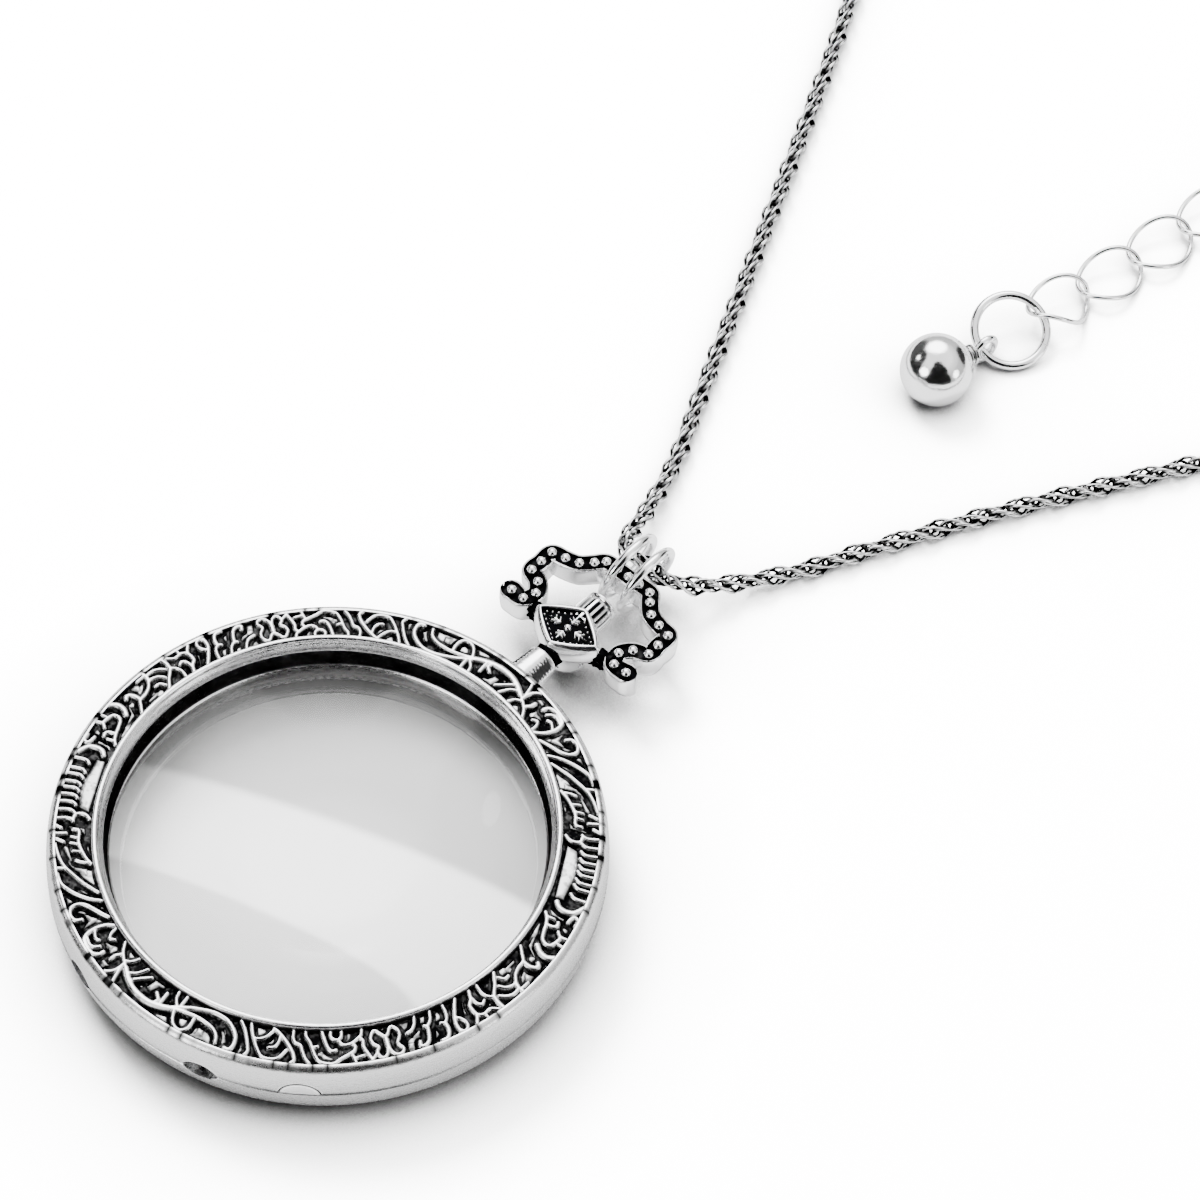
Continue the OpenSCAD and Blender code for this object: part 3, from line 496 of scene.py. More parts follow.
def new_material(name):
    """A new material, its node tree, the place in space and the output node."""
    mat = bpy.data.materials.new(name)
    mat.use_nodes = True
    tree = mat.node_tree
    tree.nodes.clear()
    place = node(tree, "ShaderNodeTexCoord").outputs["Object"]
    return mat, tree, place, node(tree, "ShaderNodeOutputMaterial")


def silver(name, shine, mottle, bump, grain=2600.0):
    """Silver that turns black where the piece's black attribute says, with hand-worked unevenness."""
    mat, tree, place, out = new_material(name)
    colours = bpy.context.scene.pendant_silver
    tone = list(colours.tone)
    cloud = node(tree, "ShaderNodeTexNoise", Vector=place, Scale=420.0, Detail=4.0, Roughness=0.6).outputs["Fac"]
    fine = node(tree, "ShaderNodeTexNoise", Vector=place, Scale=grain, Detail=3.0, Roughness=0.55).outputs["Fac"]
    brushed = node(tree, "ShaderNodeMapping", Vector=place, Scale=(0.35, 1.0, 1.6), Rotation=(0.3, 0.2, 0.9))
    streak = node(tree, "ShaderNodeTexNoise", Vector=brushed, Scale=grain * 1.7, Detail=2.0, Roughness=0.5)
    streak = streak.outputs["Fac"]

    # how black: the attribute, broken up a little by the clouds
    black = node(tree, "ShaderNodeAttribute", attribute_name="black").outputs["Fac"]
    dark = node(tree, "ShaderNodeMath", black, spread(tree, cloud, 0.3, 0.75, 0.985, 1.03),
                operation="MULTIPLY", use_clamp=True)
    bright = blend(tree, cloud, scaled(tone, 1 - mottle), tone)
    relief = node(tree, "ShaderNodeMath", fine, streak, operation="ADD")
    metal = node(tree, "ShaderNodeBsdfPrincipled", Metallic=1.0,
                 Base_Color=blend(tree, dark, bright, list(colours.tarnish)),
                 Specular_Tint=blend(tree, dark, 1.0, 0.1),
                 Roughness=blend(tree, dark, spread(tree, streak, 0.25, 0.75, shine * 0.6, shine * 1.4), 0.42),
                 Normal=node(tree, "ShaderNodeBump", Strength=bump, Distance=0.00004, Height=relief))
    tree.links.new(metal.outputs[0], out.inputs[0])
    return mat


def lens_glass():
    """Clear glass that lets lamps through, with the faint smears of handling."""
    mat, tree, place, out = new_material("lens_glass")
    smear = node(tree, "ShaderNodeTexNoise", Vector=place, Scale=160.0, Detail=3.0).outputs["Fac"]
    glass = node(tree, "ShaderNodeBsdfPrincipled", IOR=1.5, Metallic=0.0, Transmission_Weight=1.0,
                 Base_Color=(0.975, 0.975, 0.975, 1), Roughness=spread(tree, smear, 0.4, 0.8, 0.0, 0.035))
    clear = node(tree, "ShaderNodeBsdfTransparent", Color=(0.72, 0.72, 0.72, 1))
    shadow = node(tree, "ShaderNodeLightPath").outputs["Is Shadow Ray"]
    tree.links.new(node(tree, "ShaderNodeMixShader", shadow, glass, clear).outputs[0], out.inputs[0])
    return mat


def floor_paint(p):
    """Matt white sheet with painted contact shadows, a darker painted tone where the metal mirrors it, and painted
    light and shade where it is seen through the lens.
    """
    mat, tree, place, out = new_material("floor_sheet")
    tone = list(p.floor_tone)
    cloud = node(tree, "ShaderNodeTexNoise", Vector=place, Scale=9.0, Detail=2.0).outputs["Fac"]
    plain = blend(tree, cloud, scaled(tone, 0.985), tone)
    # painted contact shadows: the sheet's colour darkens where parts lie close above it
    near = node(tree, "ShaderNodeAmbientOcclusion", samples=8, Distance=0.014).outputs["AO"]
    painted_contact_shadow = node(tree, "ShaderNodeVectorMath", plain, operation="SCALE",
                  Scale=spread(tree, near, 0.38, 1.0, 0.045, 1.0))
    ray = node(tree, "ShaderNodeLightPath").outputs
    # painted reflection: rays from the metal see the sheet at a darker tone than it shows
    shine = blend(tree, ray["Is Glossy Ray"], painted_contact_shadow, scaled(tone, p.painted_reflection))
    # painted light and shade: rays through the lens see the sheet in a painted tone of its own
    seen = blend(tree, ray["Is Transmission Ray"], shine, painted_light_under_lens(tree, place, p.through))
    paint = node(tree, "ShaderNodeBsdfPrincipled", Roughness=0.75, Base_Color=seen)
    tree.links.new(paint.outputs[0], out.inputs[0])
    return mat


def painted_light_under_lens(tree, place, tone):
    """Painted light and shade on the sheet under the lens: two soft slanting edges of painted light, and painted shade
    along the far rim.
    """
    def vector(kind, start, value):
        return node(tree, "ShaderNodeVectorMath", start, value, operation=kind)

    def step(value, lo, hi, low, high):
        return spread(tree, value.outputs["Value"], lo, hi, low, high, interpolation_type="SMOOTHSTEP")

    def times(a, b):
        return node(tree, "ShaderNodeMath", a, b, operation="MULTIPLY")

    local = vector("SUBTRACT", place, (CENTRE.x * MM, CENTRE.y * MM, 0))
    upper = step(vector("DOT_PRODUCT", local, (0.36, 1, 0)), 0.0035, 0.0047, tone * 2.3, tone * 0.92)
    lower = step(vector("DOT_PRODUCT", local, (0.457, 1, 0)), -0.0063, -0.0056, 0.62, 1.0)
    far = node(tree, "ShaderNodeVectorMath", vector("SUBTRACT", local, (0, -0.0025, 0)), operation="LENGTH")
    return times(times(upper, lower), step(far, 0.0145, 0.0195, 1.0, 0.4))


# Each silver's name, shine, mottle, bump and grain
SILVERS = {
    "case": ("oxidised_case_silver", 0.2, 0.14, 0.3),
    "bow": ("oxidised_bow_silver", 0.17, 0.1, 0.22),
    "wire": ("polished_wire_silver", 0.12, 0.06, 0.12, 3400.0),
    "rope": ("rope_silver", 0.16, 0.08, 0.1, 3400.0),
}
FINISH = {}


def finish_of(kind):
    """The finishes, each made once."""
    if kind not in FINISH:
        FINISH[kind] = silver(*SILVERS[kind]) if kind in SILVERS else lens_glass()
    return FINISH[kind]


# Outline of the bezel from the window's lip over the rim, the band's floor and the side, down to the seam
RIM_OUTLINE = [
    [17.45, 5.95], [17.49, 6.0], [17.55, 6.03], [17.58, 6.06], [17.6, 6.2], [17.72, 6.9], [17.84, 7.55],
    [17.86, 7.66], [17.98, 8.02], [18.12, 8.28], [18.18, 8.38], [18.21, 8.47], [18.24, 8.56], [18.3, 8.68],
    [18.38, 8.735], [18.5, 8.75], [18.6, 8.73], [18.68, 8.67], [18.73, 8.55], [18.75, 8.42], [18.78, 7.92],
    [21.56, 7.66], [21.585, 8.05], [21.61, 8.12], [21.66, 8.14], [21.74, 8.135], [21.85, 8.1],
]
# How black the outline's points are
RIM_BLACK = {2: 0.1, 3: 0.85, 4: 0.975, 5: 0.98, 6: 0.975, 7: 0.25, 8: 0.1, 10: 0.3, 11: 0.95, 12: 0.3, 17: 0.1,
             18: 0.5, 19: 0.9, 20: 1.0, 21: 1.0, 22: 0.8, 23: 0.1}


def bezel_outline():
    shoulder = [[21.98, 8.02], [22.1, 7.9], [22.2, 7.77]]
    a = np.radians(np.linspace(9.2, 0.8, 10))
    side = np.stack([CASE_R - BULGE + BULGE * np.cos(a), SEAM_H + BULGE * np.sin(a)], -1)
    seam = [[22.47, 5.12], [22.44, 5.03], [22.36, SEAM_H], [18.6, SEAM_H], [18.6, 5.6], [17.55, 5.85]]
    return np.array([*RIM_OUTLINE, *shoulder, *side, *seam])


def back_outline():
    bulge, heel_r = 6, 2.2
    a = np.radians(np.linspace(-1, -40, 9))
    upper = np.stack([CASE_R - bulge + bulge * np.cos(a), SEAM_H + bulge * np.sin(a)], -1)
    b = np.radians(np.linspace(-42, -90, 8))
    heel = np.stack([CASE_R - 3.4 + heel_r * np.cos(b), heel_r + heel_r * np.sin(b)], -1)
    upper = upper[(upper[:, 1] > heel[0, 1]) & (upper[:, 0] > heel[0, 0] - 0.2)]
    low = [[18.3, 0], [18.15, 0.03], [18.02, 0.12], [17.6, 0.5], [17.5, 0.8], [17.49, 1.4], [17.48, 2.0],
           [17.46, 2.6], [17.45, 3.2], [17.6, 3.4], [17.8, 3.55], [18.6, 3.7]]
    return np.array([[18.6, SEAM_H - 0.02], [22.36, SEAM_H - 0.02], [22.44, 4.95], *upper, *heel, *low])


def relief_height(angles, outs):
    """Height of the ornament and place of its leaves on a grid of angles (degrees) and distances out."""
    a, v = np.meshgrid(angles, outs, indexing="ij")
    x, y = (BAND_IN + v) * np.cos(np.radians(a)), (BAND_IN + v) * np.sin(np.radians(a))
    height, leaf, clear = np.zeros(a.shape), np.zeros(a.shape), np.minimum(v, outs.max() - v) + 0.05

    def spots(points, margin):
        """The grid's rows near some points, and the points in place, on each half of the ring."""
        for turn in (-180, 0, 180):
            lo, hi = points[:, 0].min() + turn - margin, points[:, 0].max() + turn + margin
            near = (angles >= lo) & (angles <= hi)
            if near.any():
                yield near, polar(BAND_IN + points[:, 1], np.radians(points[:, 0] + turn), 0)[:, :2]

    rows = [(row[0], np.reshape(row[1:], (-1, 2))) for row in LINES]
    rows += [(RIB_W, np.array(RIB) + [start, 0]) for start in RIBS]
    for w, points in rows:
        # half of the line's width in millimetres, from its width in the chart
        half = 0.183 * w + 0.015
        for near, line in spots(smooth_path(points, 6), 2.5):
            d = distance_to_path(x[near], y[near], line)
            height[near] = np.maximum(height[near], RELIEF_H * crest(d, half))
            clear[near] = np.minimum(clear[near], d - half)
    # the leaves rise softly from their outlines
    for outline in LEAVES:
        for near, edge in spots(np.reshape(outline, (-1, 2)), 1):
            d = distance_to_path(x[near], y[near], np.vstack([edge, edge[:1]]))
            rise = np.where(inside_outline(x[near], y[near], edge), 1 - np.exp(-d / LEAF_EDGE), 0)
            height[near] = np.maximum(height[near], LEAF_H * rise)
            leaf[near] = np.maximum(leaf[near], rise)
    # the middle of the wider cells is rubbed bright again
    worn = np.clip((clear - 0.13) / 0.2, 0, 1) * np.clip((value_noise(x + 40, y + 40, 41, 1.1) - 0.3) / 0.3, 0, 1)
    return np.maximum(height, 0.1 * worn), np.maximum(leaf, 0.9 * worn)


def band_relief(steps, across):
    """The ornament as one closed ring whose top carries the scrolls."""
    angles = np.arange(steps) * 360 / steps
    turn = np.radians(angles)
    outs = np.linspace(-0.02, BAND_OUT - BAND_IN - 0.1, across)
    height, leaf = [np.vstack([m, m]) for m in relief_height(angles[:steps // 2], outs)]
    x, y = np.broadcast_arrays(turn[:, None] * (BAND_IN + 1.5), outs)
    # the floor is pitted, the scrolls a little worn
    rough = 0.6 * value_noise(x, y, 11, 0.42) + 0.4 * value_noise(x, y, 12, 0.17)
    blotch = np.clip((rough - 0.42) / 0.3, 0, 1)
    low = np.clip(1 - height / 0.12, 0, 1)
    worn = 0.012 * (value_noise(x, y, 13, 0.3) - 0.5)
    top = height * (1 + 0.06 * (value_noise(x, y, 14, 0.8) - 0.5)) + low * 0.06 * blotch + worn * (1 - low)
    floor = FLOOR_IN + (FLOOR_OUT - FLOOR_IN) * np.clip(outs / (BAND_OUT - BAND_IN), 0, 1)
    # black on the floor and the scrolls' flanks, rubbed off on the leaves and deepest along the band's edges
    black = np.clip((0.38 - height) / 0.14, 0, 1) ** 0.5 * (1 - 0.035 * blotch * low)
    worn_leaf = np.clip((leaf - 0.5) / 0.32, 0, 1) * (0.55 + 0.45 * np.clip((rough - 0.3) / 0.2, 0, 1))
    black = np.where(height > 0.25, black, np.minimum(black, 1 - 0.6 * worn_leaf))
    edge = np.minimum(outs + 0.02, outs[-1] - outs)
    black = np.maximum(black, np.clip(1 - edge / 0.07, 0, 1) * np.where(height > 0.25, 0.35, 1))
    # two more rows, 0.3 mm down, close the ring under the band's floor
    r = BAND_IN + np.array([*outs, outs[-1], outs[0]])
    foot = np.broadcast_to([FLOOR_OUT - 0.3, FLOOR_IN - 0.3], (steps, 2))
    z = np.hstack([floor + np.maximum(top, 0.0), foot])
    return Shape(*skin(polar(r, turn[:, None], z), closed=True), np.hstack([black, np.ones((steps, 2))]), AT_CASE)


def side_cutter(outline, inner, z, degrees):
    """An outline of (across, up) points carried out from a radius through the side, at an angle of the ring."""
    rings = [np.column_stack([np.full(len(outline), r), outline + [0, z]]) for r in (inner, CASE_R + 1)]
    return Shape(*skin(rings), 1.0, AT_CASE @ turned(degrees, "Z"))


def pointed_oval(length, height):
    r = (length ** 2 + height ** 2) / 4 / height
    a = math.asin(length / 2 / r)
    t = np.linspace(-a, a, 14)
    top = np.stack([r * np.sin(t), r * np.cos(t) - r + height / 2], -1)
    return np.vstack([top, (top * [1, -1])[-2:0:-1]])


# Angles of the pointed holes, and the tab on the seam: angle, height of its middle, radius and the bezel's room
# for it
HOLES = [-112.3, -146.1]
TAB_ANGLE, TAB_H, TAB_R, TAB_ROOM = -91.7, SEAM_H - 0.3, 1.65, 1.78


def hole_cutters():
    return [side_cutter(pointed_oval(3.2, 1.9), CASE_R - 1.6, SEAM_H + 0.1, angle) for angle in HOLES]


def tab_cutter():
    return side_cutter(polar(TAB_ROOM, full_turn(40), 0)[:, :2], CASE_R - 1.2, TAB_H, TAB_ANGLE)


def tab_shape():
    """The small arched tab that stands up from the back into the bezel."""
    t = np.linspace(-0.25, math.pi + 0.25, 29)
    rings = []
    # how far out of the side each ring lies, and its share of the tab's size
    for depth, share in ((0, 0.86), (0, 0.95), (-0.06, 1), (-0.3, 1), (-1.05, 1)):
        y, z = TAB_R * share * np.cos(t), TAB_H + TAB_R * share * np.sin(t)
        side = CASE_R - BULGE + BULGE * np.sqrt(1 - np.clip((z - SEAM_H) / BULGE, 0, 1) ** 2)
        r = np.where(z > SEAM_H, side, CASE_R - 0.06) + 0.015 + depth
        rings.append(np.stack([np.sqrt(r * r - y * y), y, z], -1))
    return Shape(*skin(rings), [*np.repeat([0, 0.1, 1, 1, 1], len(t)), 0, 0], AT_CASE @ turned(TAB_ANGLE, "Z"))


class PendantSilver(bpy.types.PropertyGroup):
    tone: FloatVectorProperty(name="Silver tone", description="Colour of the bright silver", subtype="COLOR",
                              size=3, min=0, max=1, default=(0.9, 0.9, 0.905))
    tarnish: FloatVectorProperty(name="Tarnish", description="Colour of the blackened recesses", subtype="COLOR",
                                 size=3, min=0, max=1, default=(0.0012, 0.0012, 0.0014))


class PendantCase(bpy.types.PropertyGroup):
    around: IntProperty(name="Steps round the case", description="Facets round the turned case parts",
                        default=360, min=60, max=720)
    relief_steps: IntProperty(name="Ornament steps", description="Grid steps round the ornament band",
                              default=2160, min=360, max=2400)
    relief_rows: IntProperty(name="Ornament rows", description="Grid rows across the ornament band",
                             default=41, min=12, max=44)


class PendantRope(bpy.types.PropertyGroup):
    link_length: FloatProperty(name="Link length", description="Outer length of one rope link in metres",
                               default=0.0026, min=0.001, max=0.006, unit="LENGTH", precision=5)
    link_width: FloatProperty(name="Link width", description="Outer width of one rope link in metres",
                              default=0.00185, min=0.001, max=0.004, unit="LENGTH", precision=5)
    wire: FloatProperty(name="Rope wire", description="Thickness of the rope's wire in metres",
                        default=0.0003, min=0.0001, max=0.001, unit="LENGTH", precision=5)
    spacing: FloatProperty(name="Spacing", description="Distance from link to link along the rope in metres",
                           default=0.00058, min=0.0002, max=0.002, unit="LENGTH", precision=5)
    left_pitch: FloatProperty(name="Left pitch", description="Length of a full twist of the left strand in metres",
                              default=0.0058, min=0.003, max=0.02, unit="LENGTH", precision=5)
    right_pitch: FloatProperty(name="Right pitch", description="Length of a full twist of the right strand in metres",
                               default=0.0077, min=0.003, max=0.02, unit="LENGTH", precision=5)


class PendantStage(bpy.types.PropertyGroup):
    floor_tone: FloatVectorProperty(name="Floor tone", description="Colour of the pale floor", subtype="COLOR",
                                    size=3, min=0, max=1, default=(0.93, 0.93, 0.93))
    # painted reflection: share of the floor's tone that the metal's reflections show
    painted_reflection: FloatProperty(name="Mirrored floor", description="Share of the floor's tone that the metal mirrors",
                            default=0.17, min=0, max=1, subtype="FACTOR")
    # painted light and shade: the floor's tone as seen through the lens
    through: FloatProperty(name="Floor under the lens", description="Tone of the floor seen through the lens",
                           default=0.21, min=0, max=1, subtype="FACTOR")
    lens: FloatProperty(name="Camera lens", description="Focal length of the camera in millimetres",
                        default=127.138, min=20, max=400)


class PENDANT_OT_bezel(bpy.types.Operator):
    """Front bezel with its rim, blackened band and raised scrolls"""
    bl_idname = "pendant.bezel"
    bl_label = "Bezel"

    def execute(self, context):
        p = context.scene.pendant_case
        outline = bezel_outline()
        r, z = outline.T
        black = np.array([RIM_BLACK.get(i, 0.0) for i in range(len(outline))])
        # the inside is black and the side a little grey
        black[(z < 5.9) & (r < 22)] = 0.97
        black[(r > 21.8) & (z < 8.12)] = 0.3
        shade = np.tile(black, (p.around, 1))
        along = np.arange(p.around) * 0.6
        # the fine line inside the rim is broken, and the outer crest has small dark notches
        shade[:, 10:13] *= np.clip((value_noise(along, along * 0, 31, 5.0) - 0.5) / 0.15, 0, 1)[:, None]
        notch = np.clip((value_noise(along + 3, along * 0, 37, 0.8) - 0.68) / 0.12, 0, 1)[:, None]
        shade[:, 21:29] = np.maximum(shade[:, 21:29], notch)
        obj = add_object("bezel_shell", Shape(*spun(outline, p.around), shade, AT_CASE))
        cut(obj, [*hole_cutters(), tab_cutter()])
        finish_piece(obj, "case", ["front_bezel"], 32)
        make_piece("bezel_scrolls", band_relief(p.relief_steps, p.relief_rows), "case", ["front_bezel"], 75)
        return {"FINISHED"}


class PENDANT_OT_back(bpy.types.Operator):
    """Back half of the case with its small tab"""
    bl_idname = "pendant.back"
    bl_label = "Case back"

    def execute(self, context):
        around = context.scene.pendant_case.around
        outline = back_outline()
        r, z = outline.T
        black = np.array([1.0, 1.0, 0.5] + [0.0] * (len(outline) - 3))
        # the window's wall is painted darker upwards as shade under the rim, and the side is a little grey
        inner = (r < 17.9) & (z > 0.4)
        black[inner] = np.clip(0.12 + (z[inner] - 0.5) * 0.14, 0, 0.95)
        black[(r > 19) & (z > 0.1) & (z < 4.9)] = 0.3
        obj = add_object("case_back", Shape(*spun(outline, around), np.tile(black, around), AT_CASE))
        cut(obj, hole_cutters())
        finish_piece(obj, "case", ["back_case"], 32)
        make_piece("case_tab", tab_shape(), "case", ["back_case"])
        return {"FINISHED"}


class PENDANT_OT_lens(bpy.types.Operator):
    """Magnifying lens, curved on both faces"""
    bl_idname = "pendant.lens"
    bl_label = "Lens"

    def execute(self, context):
        r, curve, mid, edge = 18.4, 62.0, 4.6, 1.6
        # how far the centres of the faces' arcs lie above and below the lens's middle
        drop = math.sqrt(curve ** 2 - r ** 2) - edge / 2
        a = np.linspace(0, math.asin(r / curve), 30)[1:]
        low = np.stack([curve * np.sin(a), mid + drop - curve * np.cos(a)], -1)
        top = np.stack([curve * np.sin(a), mid - drop + curve * np.cos(a)], -1)[::-1]
        profile = [*low, [r, mid - edge / 2 + 0.05], [r, mid + edge / 2 - 0.05], *top]
        v, f = spun(profile, 192, closed=False)
        v[-2:, 2] = mid + drop - curve, mid - drop + curve
        make_piece("lens_crystal", Shape(v, f, 0.0, AT_CASE), "glass", ["lens"], 30)
        return {"FINISHED"}


def arm_shape():
    """Both arms and the top bar as one swept channel with blackened floor and bright rims."""
    path = smooth_path(ARM_BEADS[:-1] + [[x, -y] for x, y in ARM_BEADS[::-1]], 8)
    wide = 1 + 0.22 * np.clip(1 - np.arange(len(path)) / 9, 0, 1)
    wide = np.maximum(wide, wide[::-1])
    # rounded ends past the first and the last bead
    out = (path[0] - path[1]) / np.linalg.norm(path[0] - path[1])
    for share in (0.35, 0.6, 0.8, 0.92, 0.98, 1.0):
        end = ARM_BEADS[0] + out * 0.98 * share
        tip = max(math.sqrt(1 - share * share), 0.06) * 1.22
        path = np.vstack([end, path, end * [1, -1]])
        wide = np.concatenate([[tip], wide, [tip]])
    half = np.array([
        [0.62, 3.3], [0.76, 3.45], [0.84, 4.0], [0.88, 4.6], [0.88, 5.1], [0.87, 5.45], [0.84, 5.55],
        [0.78, 5.59], [0.71, 5.56], [0.68, 5.46], [0.64, 5.2], [0.3, 5.12]])
    profile = np.vstack([half * [-1, 1], half[::-1]])
    black = np.zeros(len(profile))
    black[9:15] = 1.0
    return Shape(*sweep(path, profile, wide), [*np.tile(black, len(path)), 0.3, 0.3], AT_BOW)


# The plaque's recess: half sizes
PIT_X, PIT_Y = 2.08, 3.02
# The plaque's outlines from the foot over the rim to the recess: half sizes, height and how pointed it is
PLAQUE = [
    [1.5, 2.0, 4.15, 1.5], [2.1, 2.8, 4.25, 1.45], [2.45, 3.35, 4.5, 1.4], [2.6, 3.55, 4.9, 1.36],
    [2.63, 3.58, 5.4, 1.33], [2.58, 3.52, 5.85, 1.3], [2.45, 3.38, 6.15, 1.26], [2.3, 3.2, 6.32, 1.22],
    [2.2, 3.08, 6.39, 1.18], [2.12, 3.02, 6.4, 1.14], [2.06, 2.98, 6.37, 1.11], [2.02, 2.94, 6.25, 1.08],
    [2.0, 2.92, 5.95, 1.07],
]


def plaque_height(u, w):
    """Height map of the recess: four leaves, dots along the border and a bead in the middle."""
    height = np.zeros(u.shape)
    for turn, length in ((0, 1.62), (90, 2.3), (180, 1.62), (270, 2.3)):
        # along the leaf and across it: a thick root, a thin tip and two pairs of side strokes
        d, p = polar(1, np.radians([turn, turn + 90]), 0)[:, :2]
        lines = [(0.15, [0.4 * length * d, 0.6 * length * d]), (0.06, [0.6 * length * d, 0.88 * length * d])]
        for share, reach in ((0.36, 0.4), (0.54, 0.36)):
            root = share * length * d
            lines += [(0.08, [root, root + 0.13 * length * d + s * reach * p]) for s in (-1, 1)]
        for half, points in lines:
            height = np.maximum(height, 0.34 * crest(distance_to_path(u, w, smooth_path(points, 4)), half))
    # dots from corner to corner
    corners = np.array([[1.82, 0], [0, 2.72], [-1.82, 0], [0, -2.72]])
    for a, b in zip(corners, np.roll(corners, -1, axis=0)):
        for s in (0.12, 0.28, 0.44, 0.6, 0.76, 0.9):
            x, y = a + (b - a) * s
            height = np.maximum(height, 0.22 * crest(np.hypot(u - x, w - y), 0.11))
    return np.maximum(height, 0.48 * crest(np.hypot(u, w), 0.36))


def plaque_shape():
    """The cushion plaque: a convex rhombus body and the floor of its blackened recess."""
    t = full_turn(160)
    c, s = np.abs(np.cos(t)), np.abs(np.sin(t))
    rings = [polar((c ** power / hu ** power + s ** power / hv ** power) ** (-1 / power), t, z)
             for hu, hv, z, power in PLAQUE]
    at = AT_BOW @ moved(PLAQUE_X, 0, 0)
    plaque = Shape(*skin(rings), [*np.repeat([0] * 10 + [0.5, 1, 1], len(t)), 0, 1], at)

    u, w = np.meshgrid(np.linspace(-PIT_X, PIT_X, 105), np.linspace(-PIT_Y, PIT_Y, 150), indexing="ij")
    height = plaque_height(u, w)
    keep = np.abs(u) / PIT_X + np.abs(w) / PIT_Y
    z = np.where(keep > 1.05, 5.5, 5.86 + height + 0.03 * value_noise(u + 9, w + 9, 21, 0.3))
    verts = np.vstack([np.stack([u, w, level], -1).reshape(-1, 3) for level in (z, np.full(z.shape, 5.3))])
    ids = np.arange(z.size).reshape(z.shape)

    def corners(grid):
        return np.stack([grid[:-1, :-1], grid[1:, :-1], grid[1:, 1:], grid[:-1, 1:]], -1).reshape(-1, 4)

    cells = corners(ids)[corners(keep <= 1.06).all(1)]
    key = {(int(a), int(b)) for k in range(4) for a, b in cells[:, [k, (k + 1) % 4]]}
    rim = np.array([(a, b) for a, b in key if (b, a) not in key])
    walls = np.stack([rim[:, 1], rim[:, 0], rim[:, 0] + z.size, rim[:, 1] + z.size], -1)
    used, faces = np.unique(np.vstack([cells, cells[:, ::-1] + z.size, walls]), return_inverse=True)
    black = np.concatenate([np.clip((0.2 - height) / 0.12, 0, 1).ravel(), np.ones(z.size)])
    return plaque.add(verts[used], [faces.reshape(-1, 4)], black[used], at)


def barrel_shape():
    x = np.linspace(30.3, 32.75, 18)
    r = 1.2 + 0.27 * np.sqrt(np.clip(1 - ((x - 31.6) / 1.6) ** 2, 0, 1))
    x = np.array([*x, 32.82, 32.86, 32.9, 32.98, 33.1, 33.2, 33.3, 33.36])[:, None]
    r = np.array([*r, 1.3, 1.24, 1.3, 1.38, 1.42, 1.4, 1.2, 0.9])[:, None]
    shade = np.zeros(x.shape)
    shade[18:20] = 0.95
    along = np.clip(np.minimum((x - 30.4) / 0.2, (32.8 - x) / 0.15), 0, 1)
    groove = np.clip(0.5 - np.cos(16 * full_turn(192)) * 1.7, 0, 1)
    shade = np.maximum(shade, along * np.clip(groove * 1.5, 0, 1))
    return Shape(*lathe(x, r - 0.24 * along * groove, shade, 192, AT_BOW @ moved(0, 0, 4.75)))


def stem_shape():
    x = np.linspace(21.4, 25.7, 52)
    r = 1.82 - 0.47 * np.clip((x - 21.6) / 4.6, 0, 1) ** 0.9
    x = np.array([*x, 25.76, 25.8, 25.9, 26.3, 27.0, 28.2])[:, None]
    r = np.array([*r, 1.36, 1.28, 1.18, 1.16, 1.25, 1.35])[:, None]
    shade = np.zeros(x.shape)
    # the thin neck under the plaque is black all round: painted shadow of the plaque
    shade[-5:] = 1.0
    # a jagged blackened groove on each side
    t = full_turn(144)
    inside = np.clip(np.minimum((x - 22.2) / 0.5, (25.7 - x) / 0.3), 0, 1)
    jag = 0.09 * np.sin(x * 19.0) + 0.05 * np.sin(x * 43.0)
    groove = sum(np.clip(1.5 - np.abs(side + 0.94 + jag) / 0.3, 0, 1) for side in (t - TAU, -t))
    shade = np.maximum(shade, inside * np.clip(groove * 2.5, 0, 0.96))
    return Shape(*lathe(x, r - 0.14 * inside * np.sqrt(groove), shade, 144, AT_BOW @ moved(0, 0, 4.65)))


def neck_shape():
    """Ridged necks from the plaque to the curls, two on each side."""
    necks = Shape()
    t = full_turn(16)
    for s in (-1, 1):
        for z in (4.3, 5.1):
            rings = []
            for k, y in enumerate(np.linspace(2.2, 4.5, 12)):
                r = 0.54 + 0.05 * math.cos(k * 2.4)
                rings.append(polar(r, t, s * y)[:, [0, 2, 1]] * [1.3, 1, 1] + [PLAQUE_X + 0.05 + 0.03 * k, 0, z])
            necks.add(*skin(rings), 1.0, AT_BOW)
    return necks


class PENDANT_OT_bow(bpy.types.Operator):
    """Cast bow: stem, plaque with its leaves, ribbed barrel, arms and their beads"""
    bl_idname = "pendant.bow"
    bl_label = "Bow"

    def execute(self, context):
        make_piece("bow_arms", arm_shape(), "bow", ["bow"], 40)
        make_piece("bow_plaque", plaque_shape(), "bow", ["bow"], 60)
        make_piece("bow_barrel", barrel_shape(), "bow", ["bow"], 60)
        make_piece("bow_stem", stem_shape(), "bow", ["bow"], 60)
        # the pillar under the plaque with its two pits
        profile = [[0.6, 2.04], [1.3, 2.0], [1.68, 2.06], [1.84, 2.2], [1.94, 2.6], [2.0, 3.2], [2.1, 3.9],
                   [2.25, 4.25], [2.3, 4.5], [2.1, 4.7]]
        at = AT_BOW @ moved(PLAQUE_X, 0, 0)
        obj = add_object("bow_pillar", Shape(*spun(profile, 96, closed=False), 0.0, at))
        places = polar(1.98, np.radians([-104, -166]), 3.0)
        cut(obj, [Shape(*ball(place, 0.27, 16, 8), 1.0, at) for place in places])
        finish_piece(obj, "bow", ["bow"])
        make_piece("bow_necks", neck_shape(), "bow", ["bow"])
        add_beads()
        return {"FINISHED"}


